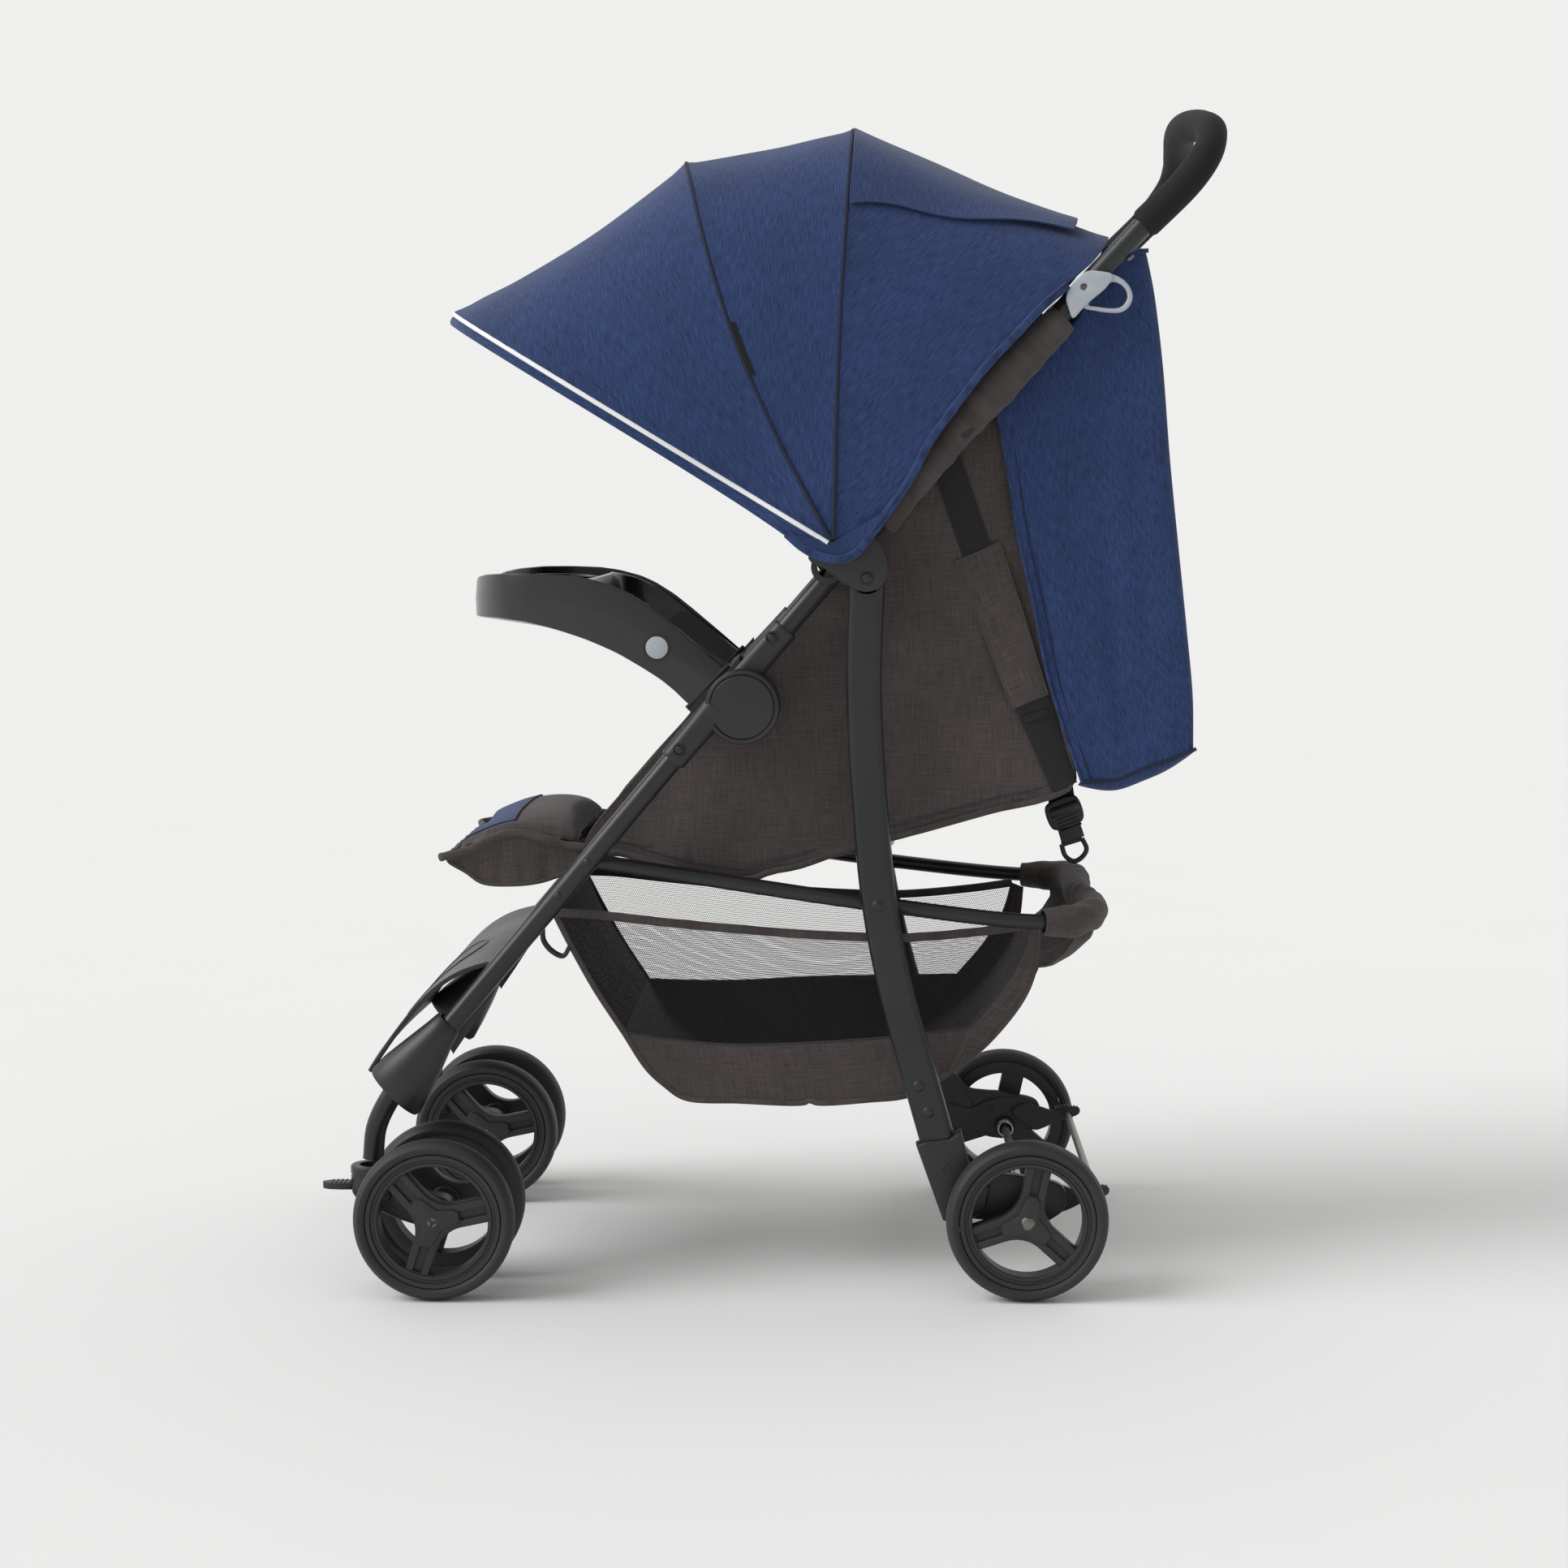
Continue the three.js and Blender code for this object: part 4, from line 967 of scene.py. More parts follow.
def step_point(s, y):
    """Point on the footrest's top: s from its front lip to its rear edge, dished in the middle."""
    lip = 1 - (y / STEP_HALF) ** 2
    x = -597 + 122 * s - 6 * lip * (1 - s)
    z = 200 + 102 * s + 26 * math.sin(math.pi * s) - 5 * lip * math.sin(math.pi * s)
    return x, y, z


def footrest_part():
    rows = [[step_point(s, y) for y in np.linspace(-STEP_HALF, STEP_HALF, 65)]
            for s in np.linspace(0, 1, 22)]
    step = grid("footrest_fine", rows, PLASTIC, crease=40)
    modified(step, "SOLIDIFY", 40, thickness=4.2 * MM, offset=-1)
    rounded(step, 1.2, 2, 50)
    holes = []
    for y, s in STEP_HOLES:
        x, _, z = step_point(s, y)
        holes.append(lathe("hole", [(0.01, -12), (2.3, -12), (2.3, 12), (0.01, 12)], (x, y, z), PLASTIC,
                           16, "Z"))
    cut_by(step, merged("holes", holes), 40)
    border = [step_point(0.42 + 0.3 * math.sin(a), 62 * math.cos(a)) for a in full_turn(64)]
    ridge = sweep("ridge", [(x, y, z + 0.2) for x, y, z in border], circle(0.9, 8), PLASTIC, closed=True)
    parts = [step, ridge]
    for _, side in SIDES:
        stations = [(-521.5, FRONT_Y, 245.5, 11.6, 11.6), (-523, FRONT_Y, 243.6, 13.6, 13.4),
                    (-530, FRONT_Y, 235, 15.2, 15.4), (-546, 194, 214, 19.5, 22),
                    (-560, 193, 196.5, 22.5, 27), (-570.5, 192, 183, 24.2, 29.5),
                    (-573, 192, 180, 22.8, 28.2)]
        rings = []
        way = np.array([-0.63, 0, -0.776])
        other = np.array([0.776, 0, -0.63])
        for x, y, z, wide, long in stations:
            centre = np.array([x, side * y, z])
            angles = full_turn(40)
            rings.append([tuple(centre + other * long * math.cos(a)
                                + np.array([0, 1, 0]) * wide * math.sin(a)
                                + way * 3.0 * (long / 29) * math.cos(a)) for a in angles])
        boot = grid("boot", rings, PLASTIC, wrap=True, crease=50)
        modified(boot, "SOLIDIFY", 50, thickness=2.2 * MM, offset=-1)
        parts.append(boot)
        fin = plate("fin",
                    [[(-531, 236), (-497, 284), (-474, 306), (-466, 299), (-484, 268), (-505, 236),
                      (-520, 214)]], side * (FRONT_Y - 13), side * (FRONT_Y - 10.5), PLASTIC, 0.8)
        parts.append(fin)
    footrest = merged("footrest_fine", parts)
    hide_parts("footrest")
    carry("front_frame", footrest)


# ---------------------------------------------------------------- basket rail, tray
def rail_part():
    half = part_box("basket_rail")[1].y / MM - 7
    one = [(RAIL_PIVOT[0], RAIL_PIVOT[1]), (-130, 351), (18, 336)]
    left = [(x, -half, z) for x, z in one] + [(58, -150, 340)]
    right = [(x, -y, z) for x, y, z in reversed(left)]
    rail = sweep("basket_rail_fine", smooth_path([*left, (58, 0, 340), *right], 160), circle(7, 20),
                 FRAME)
    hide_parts("basket_rail")
    carry("basket_frame", rail)


TRAY_TOP = [(-511, 641), (-506, 645.5), (-495, 648.2), (-472.6, 650), (-444.8, 649.8), (-417, 648.6),
            (-398.4, 646), (-376, 640), (-361.4, 633.5), (-343, 622), (-324.4, 607.4), (-296.7, 584.8),
            (-272, 564.5)]
TRAY_LOW = [(-511, 608.5), (-482, 608.8), (-454, 606), (-426.7, 599.7), (-399, 591), (-371, 579),
            (-347, 565), (-324.8, 551), (-306.3, 533)]
CUP_Y, CUP_R, CUP_FLOOR = 88, 36, 617


def tray_station(s):
    """Outer and inner plan points at share s of the horseshoe, from one arm's end to the other's."""
    k = abs(2 * s - 1)
    side = -1 if s < 0.5 else 1
    outer = [(-260, 184), (-350, 184), (-420, 180), (-470, 163), (-500, 120), (-511, 60), (-514, 0)]
    inner = [(-260, 172), (-350, 170), (-385, 160), (-396, 140), (-396, 100), (-396, 50), (-396, 0)]
    knots = [0, 0.28, 0.5, 0.66, 0.8, 0.9, 1.0]
    plan = []
    for line in (outer, inner):
        q = smooth_path([(x, y, 0) for x, y in line], 240)
        run = np.interp(1 - k, knots, np.linspace(0, 1, 7))
        place = run * 240
        plan.append([np.interp(place, np.arange(241), q[:, a]) for a in (0, 1)])
    return plan[0][0], side * plan[0][1], plan[1][0], side * plan[1][1]


def tray_parts():
    def height(line, x):
        xs, zs = zip(*line)
        return float(np.interp(x, xs, zs))

    rings = []
    for s in np.linspace(0, 1, 121):
        ox, oy, ix, iy = tray_station(s)
        end = max(0.0, 1 - min(s, 1 - s) / 0.14)
        top_o, low_o = height(TRAY_TOP, ox), height(TRAY_LOW, ox)
        top_i, low_i = height(TRAY_TOP, ix), height(TRAY_LOW, ix)
        out = np.array([ox, oy])
        inn = np.array([ix, iy])
        way = (inn - out) / np.linalg.norm(inn - out)
        width = np.linalg.norm(inn - out)
        deep = 2.5 + 5.5 * (1 - end)
        section = [(out + way * 3, low_o), (out + way * 0.6, low_o + 1), (out, (low_o + top_o) / 2),
                   (out + way * 1.2, top_o - 3), (out + way * 1.9, top_o - 0.6), (out + way * 3.1, top_o),
                   (out + way * 4.4, top_o - 0.7), (out + way * 5.2, top_o - deep),
                   (out + way * (5.2 + 0.35 * (width - 9)), (top_o + top_i) / 2 - deep - 0.6),
                   (inn - way * 4.2, top_i - deep), (inn - way * 3.6, top_i - 1.8),
                   (inn - way * 2.4, top_i - 1), (inn - way * 0.8, top_i - 2), (inn, (low_i + top_i) / 2),
                   (inn - way * 0.8, low_i + 4), (inn - way * 3, low_i + 3)]
        rings.append([(spot[0], spot[1], z) for spot, z in section])
    n = len(rings[0])
    shell = grid("tray_fine", [r + [r[0]] for r in rings], TRAY_PLASTIC, crease=34)
    ends = [piece("end", rings[k], [list(range(n))], TRAY_PLASTIC) for k in (0, -1)]
    tray = merged("tray_fine", [shell, *ends])
    body = bmesh.new()
    body.from_mesh(tray.data)
    bmesh.ops.remove_doubles(body, verts=body.verts, dist=1e-5)
    slope = Vector((math.cos(FRONT_SLOPE - math.pi / 2), 0, math.sin(FRONT_SLOPE - math.pi / 2)))
    corner = at(-272.5, 0, 563.5)
    cut = bmesh.ops.bisect_plane(body, geom=body.verts[:] + body.edges[:] + body.faces[:],
                                 plane_co=corner, plane_no=slope, clear_outer=True)
    edges = [e for e in cut["geom_cut"] if isinstance(e, bmesh.types.BMEdge)]
    bmesh.ops.holes_fill(body, edges=edges)
    bmesh.ops.recalc_face_normals(body, faces=body.faces)
    body.to_mesh(tray.data)
    body.free()
    wells = [lathe("well",
                   [(0.01, CUP_FLOOR), (CUP_R - 3, CUP_FLOOR), (CUP_R - 1, CUP_FLOOR + 2),
                    (CUP_R, CUP_FLOOR + 6), (CUP_R, 700), (0.01, 700)], (-440, s * CUP_Y, 0),
                   TRAY_PLASTIC, 64, "Z") for _, s in SIDES]
    cut_by(tray, merged("wells", wells), 34)
    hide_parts("tray")
    rims = [sweep("rim", [(-440 + (CUP_R + 0.6) * math.cos(a), s * CUP_Y + (CUP_R + 0.6) * math.sin(a),
                           height(TRAY_TOP, -440 + CUP_R * math.cos(a)) - 7.6) for a in full_turn(64)],
                  circle(1.1, 8), TRAY_PLASTIC, closed=True) for _, s in SIDES]
    rim = merged("tray_cup_rims", rims)
    carry("tray", tray, rim)
    for label, side in SIDES:
        button = lathe(f"tray_button_{label}_fine",
                       [(0.01, side * 182), (10, side * 182), (10.2, side * 185.6), (9.7, side * 186.8),
                        (8, side * 187.3), (0.01, side * 187.5)], (-333, 0, 584), GREY, 48)
        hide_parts(f"tray_button_{label}")
        carry(f"tray_button_{label}", button)
        well = lathe(f"tray_button_{label}_seat",
                     [(10.6, side * 184.6), (12.4, side * 184.6), (12.0, side * 185.4),
                      (11.0, side * 185.4)], (-333, 0, 584), TRAY_PLASTIC, 48)
        carry("tray", well)
        dock = plate("dock",
                     [[(-306.4, 529), (-298, 521.5), (-290.5, 523), (-258, 563), (-258.5, 578),
                       (-268.5, 567)]], side * 172, side * 184, PLASTIC, 1.6)
        lip = plate("lip", [[(-308, 530.8), (-305.6, 528.8), (-268, 567.6), (-270.3, 569.6)]],
                    side * 170.5, side * 185, PLASTIC, 0.8)
        mount = merged(f"tray_mount_{label}", [dock, lip])
        carry("front_frame", mount)


frame_tubes()
handle_parts()
rear_parts()
brake_parts()
caster_parts()
footrest_part()
rail_part()
tray_parts()


# ---------------------------------------------------------------- canopy
# Lines of the cover on its left side, from the pivot outwards and over the crown: (x, y, z) with y left.
CANOPY_PIVOT = (-175, 676)
CROWN_Y = [(198, 0.0), (198.5, 0.08), (199, 0.16), (199, 0.25), (197, 0.5), (188, 0.68), (165, 0.82),
           (128, 0.92), (70, 0.982), (0, 1.0)]
COVER_STEPS = 56


def over_bracket(x, z):
    """How far the cover stands out over the leg bracket, which sits under it around the pivot."""
    return 14.5 / (1 + (math.hypot(x - CANOPY_PIVOT[0], z - CANOPY_PIVOT[1]) / 62) ** 4)


def bow_line(angle, crown, bulge, root=5.0):
    """Half of a bow, in its own plane through the pivot, pushed forward in the middle by bulge."""
    a = math.radians(angle)
    line = []
    for y, share in CROWN_Y:
        r = root + (crown - root) * share
        push = bulge * math.sin(math.pi * min(share * 1.05, 1))
        x = CANOPY_PIVOT[0] + r * math.cos(a) - push * math.sin(a)
        z = CANOPY_PIVOT[1] + r * math.sin(a) + push * math.cos(a)
        line.append((x, -y - over_bracket(x, z), z))
    return line


def whole_bow(half, steps=COVER_STEPS):
    """The mirrored line over the crown, left pivot to right pivot, evenly spaced."""
    full = list(half) + [(x, -y, z) for x, y, z in reversed(half[:-1])]
    return smooth_path(full, steps)


HANDLE_ANGLE, BACK_ANGLE, MIDDLE_ANGLE, FRONT_ANGLE = 48.4, 87.5, 111.5, 149
REAR_LIFT = 4, 3.5
REAR_EDGE = [(-158, -196, 669), (-149, -198, 676), (-131, -199, 695.5), (-105, -200, 730.5),
             (-87, -200, 763), (-65.7, -199, 792), (-39.5, -197, 826), (-13.4, -194, 854.5),
             (12.7, -191, 882.5), (34, -186, 902), (58, -172, 925), (69, -146, 942), (73, -105, 951),
             (74, -50, 955), (74, 0, 956)]
REAR_EDGE = [(x - REAR_LIFT[0] * math.sin(math.pi * i / 12), y - over_bracket(x, z),
              z + REAR_LIFT[1] * math.sin(math.pi * i / 12)) if i < 12 else (x, y, z)
             for i, (x, y, z) in enumerate(REAR_EDGE)]
FRONT_EDGE = bow_line(FRONT_ANGLE, 416, 0)
FRONT_SEAM = bow_line(MIDDLE_ANGLE, 378, 15)
BACK_SEAM = bow_line(BACK_ANGLE, 382, 3)
TAG_LOW, TAG_HIGH = 824, 873


def cover_rows(one, two, sag, ridge, columns=26, puckers=0.0):
    """Cloth stretched between two bow lines: pulled inward there, with stitched puckers at one edge."""
    a, b = whole_bow(one), whole_bow(two)
    rows = []
    centre = np.array([CANOPY_PIVOT[0], 0, CANOPY_PIVOT[1]])
    for i, (p, q) in enumerate(zip(a, b)):
        t = i / (len(a) - 1)
        outward = (p + q) / 2 - centre
        outward[1] *= 0.35
        outward /= max(np.linalg.norm(outward), 1e-6)
        hold = math.sin(math.pi * min(max(t, 0.02), 0.98)) ** 0.6
        line = []
        for k in np.linspace(0, 1, columns + 1):
            pull = sag * 4 * k * (1 - k) * hold
            lift = ridge * (math.exp(-(k / 0.035) ** 2) + math.exp(-((1 - k) / 0.035) ** 2)) * hold
            beside = math.exp(-((k - 0.88) / 0.07) ** 2)
            crease = puckers * math.sin(60 * t + 5 * math.sin(17 * t)) * beside * hold
            soft = 0.8 * math.sin(7 * k + 9 * t) * math.sin(23 * t + 3 * k) * 4 * k * (1 - k) * hold
            line.append(p + (q - p) * k + outward * (lift - pull + crease + soft))
        rows.append(line)
    return rows


def cover_panel(name, rows):
    made = grid(name, rows, BLUE)
    modified(made, "SOLIDIFY", 60, thickness=1.4 * MM, offset=1)
    return made


def seam_cord(name, half, radius, look, lift=0.6):
    centre = np.array([CANOPY_PIVOT[0], 0, CANOPY_PIVOT[1]])
    line = []
    for p in whole_bow(half, 150):
        outward = (p - centre) * np.array([1, 0.4, 1])
        line.append(p + outward / max(np.linalg.norm(outward), 1e-6) * lift)
    return sweep(name, line, circle(radius, 10), look)


def bend_between(made):
    """Bakes the placement of a wedge of the cover, lying between its two bows, into its mesh."""
    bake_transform(made)


def canopy_parts():
    rear = cover_panel("canopy_rear_cloth", cover_rows(REAR_EDGE, BACK_SEAM, 2, 1.2))
    middle = cover_panel("canopy_middle_cloth", cover_rows(BACK_SEAM, FRONT_SEAM, 1.5, 1.4, 18))
    front_rows = cover_rows(FRONT_SEAM, FRONT_EDGE, 8, 1.4, 32, 1.3)
    front = cover_panel("canopy_front_cloth", front_rows)
    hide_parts("canopy_rear_panel")
    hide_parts("canopy_mid_panel")
    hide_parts("canopy_front_panel")
    bend_between(rear)
    bend_between(middle)
    bend_between(front)
    seams = [(seam_cord("canopy_back_seam", BACK_SEAM, 2.0, BLUE_THREAD, 1.7), "canopy_back"),
             (seam_cord("canopy_middle_seam", FRONT_SEAM, 2.0, BLUE_THREAD, 1.7), "canopy_middle")]
    for made, body in seams:
        carry(body, made)
    edge = whole_bow(FRONT_EDGE, 170)
    down = np.array([math.cos(math.radians(239)), 0, math.sin(math.radians(239))])
    strip = [p + down * 0.6 for p in edge]
    piping = sweep("canopy_piping", strip, stadium(4.6, 5.4, 2.2, 5), REFLECTIVE)
    hem_rows = []
    for p in edge:
        near = math.exp(-np.linalg.norm(p - np.array([CANOPY_PIVOT[0], p[1], CANOPY_PIVOT[1]])) / 60)
        lip = [(0.9, 1.0), (1.6, 4.0), (1.2, 7.5), (-0.6, 9.6), (-2.4, 8.8), (-3.0, 5.0), (-2.0, 1.2)]
        out = np.array([0.25 * (p[0] - CANOPY_PIVOT[0]), p[1] * 0.9, 0.25 * (p[2] - CANOPY_PIVOT[1])])
        out /= np.linalg.norm(out)
        hem_rows.append([p + out * o + down * (d * (0.95 + 0.9 * near) + 1.5) for o, d in lip])
    hem = grid("canopy_front_hem", hem_rows, BLUE)
    sewn_line = smooth_path([line[-4] for line in front_rows[3:-3]], 160)
    stitch = sweep("canopy_front_stitch", [p * [1, 1.004, 1] for p in sewn_line], circle(0.7, 6),
                   BLUE_THREAD)
    tag_line = whole_bow(FRONT_SEAM, 300)
    tagged = [p for p in tag_line[:150] if TAG_LOW < p[2] < TAG_HIGH]
    tag_rows = [[p + np.array([k * 6.6 - 1.0, -1.9 - 0.4 * math.sin(math.pi * k), 0])
                 for k in np.linspace(0, 1, 5)] for p in tagged]
    tag = grid("canopy_tag", tag_rows, BINDING, thickness=0.9)
    carry("canopy_front", piping, hem, stitch)
    carry("canopy_middle", tag)
    trim = []
    for _, side in SIDES:
        rear_line = smooth_path([(-216, -213, 686), (-202, -216, 674), (-188, -217, 666.5),
                                 (-172, -218, 663.5), (-157, -217, 667.5),
                                 *[(x, y - 2.6, z) for x, y, z in REAR_EDGE[2:10]]], 90)
        trim.append(sweep("hem", [(x, -side * y, z) for x, y, z in rear_line], stadium(7.6, 4.6, 2.2, 5),
                          BLUE, uv=True, side=(0, 1, 0)))
        fan = []
        for k in np.linspace(0, 1, 9):
            fan.append([(CANOPY_PIVOT[0] + (x - CANOPY_PIVOT[0]) * k, side * (213 + 2.5 * k),
                         CANOPY_PIVOT[1] + 3 + (z - CANOPY_PIVOT[1] - 3) * k)
                        for x, _, z in rear_line[:30]])
        trim.append(grid("fan", fan, BLUE, thickness=1.6))
        trim.append(sweep("thread", [(x + 3.6, side * (-y + 1.2), z + 4.6) for x, y, z in rear_line[20:]],
                          circle(0.45, 6), BLUE_THREAD))
    carry("handle", merged("canopy_rear_hem", trim))
    window_flap()
    for place, angle, crown, bulge in (("back", BACK_ANGLE, 366, 2), ("middle", MIDDLE_ANGLE, 364, 12),
                                       ("front", FRONT_ANGLE - 2.6, 402, -4)):
        inner = [(x, y * 0.955, z) for x, y, z in bow_line(angle, crown, bulge, 14)]
        rod = sweep(f"canopy_bow_{place}_fine", whole_bow(inner, 120), stadium(6.2, 3.2, 1.3, 4), PLASTIC)
        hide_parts(f"canopy_bow_{place}")
        carry(f"canopy_{place}", rod)
    measure_cloth(rear)
    measure_cloth(middle)
    measure_cloth(front)


FLAP_REACH = 0.87


def window_flap():
    """The peekaboo flap that lies over the rear panel behind the back bow."""
    a, b = whole_bow(BACK_SEAM, 400), whole_bow(REAR_EDGE, 400)
    rows = []
    centre = np.array([CANOPY_PIVOT[0], 0, CANOPY_PIVOT[1]])
    for w in np.linspace(0, 1, 49):
        line = []
        for k in np.linspace(0.0, FLAP_REACH, 26):
            half = 0.207 - 0.057 * k / FLAP_REACH - 0.004 * math.sin(3 * math.pi * k / FLAP_REACH)
            t = 0.5 + (2 * w - 1) * half
            p = np.array([np.interp(t * 400, np.arange(401), a[:, c]) for c in range(3)])
            q = np.array([np.interp(t * 400, np.arange(401), b[:, c]) for c in range(3)])
            outward = ((p + q) / 2 - centre) * np.array([1, 0.35, 1])
            outward /= np.linalg.norm(outward)
            rim = max(math.exp(-((1 - abs(2 * w - 1)) / 0.05) ** 2),
                      math.exp(-((FLAP_REACH - k) / 0.05) ** 2))
            dip = 2.75 * math.sin(math.pi * min(k / FLAP_REACH, 1))
            fold = 1.4 * math.sin(9 * k + 4 * w) * math.sin(11 * w)
            line.append(p + (q - p) * k + outward * (4.2 + 2.2 * rim - dip + fold * (1 - rim)))
        rows.append(line)
    flap = grid("canopy_window_flap", rows, BLUE)
    modified(flap, "SOLIDIFY", 60, thickness=1.6 * MM, offset=1)
    bend_between(flap)


def measure_cloth(made, faces_of=2):
    """Works out a sheet's size from its own surface: as large as its flat coordinates, or as its area
    needs; the size is not kept or used.
    """
    body = bmesh.new()
    body.from_mesh(made.data)
    area = sum(face.calc_area() for face in body.faces) / faces_of
    body.free()
    flat = np.array([loop.uv[:] for loop in made.data.uv_layers[0].data])
    width, length = flat.max(0) - flat.min(0)
    if area > width * length:
        width = area / length


# ---------------------------------------------------------------- side wings, sleeves, straps, pockets
WING_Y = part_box("side_wing_right")[1].y / MM
WING_TOP = [(-403, 392), (-402, 405), (-391, 423), (-374, 443), (-355, 465), (-329, 494), (-306, 522),
            (-262, 566), (-205, 618), (-150, 672), (-95, 733), (-40, 796), (10, 852), (29, 879)]
WING_LOW = [(-401, 390), (-376, 396), (-342, 388), (-301, 377.5), (-259, 372), (-245, 374), (-234, 379),
            (-205, 385), (-160, 400.5), (-122, 410.5), (-73, 424), (-27, 437), (20, 448), (42, 461),
            (36, 500), (27, 540), (8, 618), (-8, 700), (-12, 760), (-8, 805), (8, 842), (26, 874)]


def wing_depth(x, z):
    """How far the wing's cloth stands out from its plane: tall soft folds and puckers along the hem."""
    tall = 2.6 * math.sin(0.030 * x + 0.006 * z + 0.6) + 1.7 * math.sin(0.061 * x - 0.014 * z + 1.1)
    diagonal = 1.3 * math.sin(0.045 * (x + 0.75 * z)) * math.exp(-((x + 190) / 90) ** 2)
    hem = 398 + 0.30 * (x + 150)
    gather = 1.1 * math.sin(0.21 * x + 2 * math.sin(0.05 * x)) * math.exp(-abs(z - hem) / 14)
    return tall + diagonal + gather


def side_wings():
    top = smooth_path(in_plane(WING_TOP), 84)
    low = smooth_path(in_plane(WING_LOW), 84)
    for label, side in SIDES:
        rows, flat = [], []
        for p, q in zip(top, low):
            line, place = [], []
            for k in np.linspace(0, 1, 60):
                x, _, z = p + (q - p) * k
                edge = math.sin(math.pi * k) ** 0.35
                y = WING_Y - 3.8 + wing_depth(x, z) * edge
                line.append((x, side * y, z))
                place.append((x * MM, z * MM))
            rows.append(line)
            flat.append(place)
        wing = grid(f"side_wing_{label}_cloth", rows, MELANGE, np.array(flat))
        modified(wing, "SOLIDIFY", 60, thickness=1.3 * MM, offset=0)
        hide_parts(f"side_wing_{label}")
        bend_wing(wing)
        hem_line = [(x, side * (WING_Y - 2.6 + 0.6 * wing_depth(x, z)), z - 1.0) for x, _, z in low[:50]]
        hem = sweep(f"side_wing_{label}_hem", hem_line, circle(3.1, 12), MELANGE, uv=True)
        bend_wing(hem)
        seam_line = [(x - 2, side * (WING_Y - 2.6 + 0.95 * wing_depth(x - 2, z + 9)), z + 9)
                     for x, _, z in low[5:48]]
        seam = sweep(f"side_wing_{label}_stitch", seam_line, circle(0.5, 6), STITCH)
        bend_wing(seam)
        measure_cloth(wing)
        wing_trim(label, side)


def bend_wing(made):
    """Bakes the placement of a wing piece into its mesh; the wing sits about the hub, between the front
    tube and the handle tube.
    """
    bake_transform(made)


def band(name, corners, y, look, side, lift=1.6, bow=1.0, rows=10):
    """A flat strip of webbing or cloth between four (x, z) corners, a little crowned."""
    a, b, c, d = [np.array(p, float) for p in corners]
    grid_rows, flat = [], []
    for v in np.linspace(0, 1, rows):
        left, right = a + (d - a) * v, b + (c - b) * v
        line, place = [], []
        for u in np.linspace(0, 1, 9):
            x, z = left + (right - left) * u
            rise = bow * math.sin(math.pi * u) ** 0.5
            line.append((x, side * (y + rise), z))
            place.append((u * np.linalg.norm(right - left) * MM, v * np.linalg.norm(d - a) * MM))
        grid_rows.append(line)
        flat.append(place)
    return grid(name, grid_rows, look, np.array(flat), thickness=lift)


def straight_loop(corners, count=12):
    """Evenly spaced points along the straight sides between corners, once round."""
    points = []
    for (x0, z0), (x1, z1) in zip(corners, corners[1:] + corners[:1]):
        points += [(x0 + (x1 - x0) * k, z0 + (z1 - z0) * k) for k in np.linspace(0, 0.95, count)]
    return points


def wing_trim(label, side):
    low = smooth_path([(33, 0, 873), (8, 0, 848), (-20, 0, 819), (-47, 0, 789), (-73, 0, 757),
                       (-98, 0, 727), (-128, 0, 691)], 90)
    puff = [13.5 + 4.6 * math.sin(math.pi * min(s * 1.6, 1))
            + 0.8 * math.sin(31 * s) * math.sin(11 * s + 1) + 0.35 * math.sin(80 * s + side)
            for s in np.linspace(0, 1, 91)]
    puff[0], puff[-1] = 11.5, 12.0
    middle = low + np.array([-0.747 * 5.5, side * (HANDLE_Y - 1.5), 0.664 * 5.5])
    sleeve = sweep(f"handle_sleeve_{label}", middle, circle(1, 28), MELANGE, puff, uv=True)
    cuff = sweep("cuff", middle[:5], circle(13.6, 28), MELANGE, uv=True)
    snap = lathe("snap",
                 [(0.01, 0), (6.2, 0), (6.3, side * 1.3), (4.6, side * 2.2), (3.0, side * 1.6),
                  (0.01, side * 1.6)], (-57.5, side * (HANDLE_Y + 10.4), 776), PLASTIC, 32)
    sleeve = merged(f"handle_sleeve_{label}", [sleeve, cuff])
    snap.name = f"sleeve_snap_{label}"
    strap = band(f"side_strap_{label}", [(-88, 752), (-64, 762), (-33, 674), (-58.7, 664.8)],
                 WING_Y - 1.6, WEBBING, side)
    pocket = band(f"strap_pocket_{label}", [(-66.4, 660.5), (-25.6, 678.3), (19, 541), (-13.3, 527.3)],
                  WING_Y - 1.5, MELANGE, side, 1.3, 2.2, 20)
    rim = straight_loop([(-66.4, 660.5), (-25.6, 678.3), (-3, 611), (19, 541), (-13.3, 527.3),
                         (-38.5, 597)])
    edge = sweep("edge", in_plane(rim, side * (WING_Y - 0.9)), circle(0.9, 8), MELANGE, closed=True,
                 uv=True)
    pocket = merged(f"strap_pocket_{label}", [pocket, edge])
    lower = band(f"side_strap_low_{label}", [(-11, 530), (19, 541), (46, 461), (24, 452)], WING_Y - 2.0,
                 WEBBING, side)
    tongue = band("tongue", [(-3, 521), (18, 528), (21, 522), (0, 515)], WING_Y - 0.2, WEBBING, side)
    lower = merged(f"side_strap_low_{label}", [lower, tongue])
    carry("handle", sleeve, snap, strap, pocket, lower)


# ---------------------------------------------------------------- back drape
DRAPE_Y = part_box("back_drape")[1].y / MM
DRAPE_FRONT = [(-30, 795), (-21.7, 752), (-9.8, 681), (4.9, 617), (16.8, 559), (30, 516), (49, 461)]
DRAPE_REAR = [(105, 937), (112, 905), (117, 872), (122, 830), (129, 750), (138, 668), (146, 597),
              (152, 538), (153, 492)]
DRAPE_TOP = [(-30, 795), (-6.9, 823), (19.5, 849), (37, 868), (63, 905), (88, 935), (105, 937)]
DRAPE_LOW = [(49, 461), (81, 464), (107, 474), (130, 482), (153, 492)]


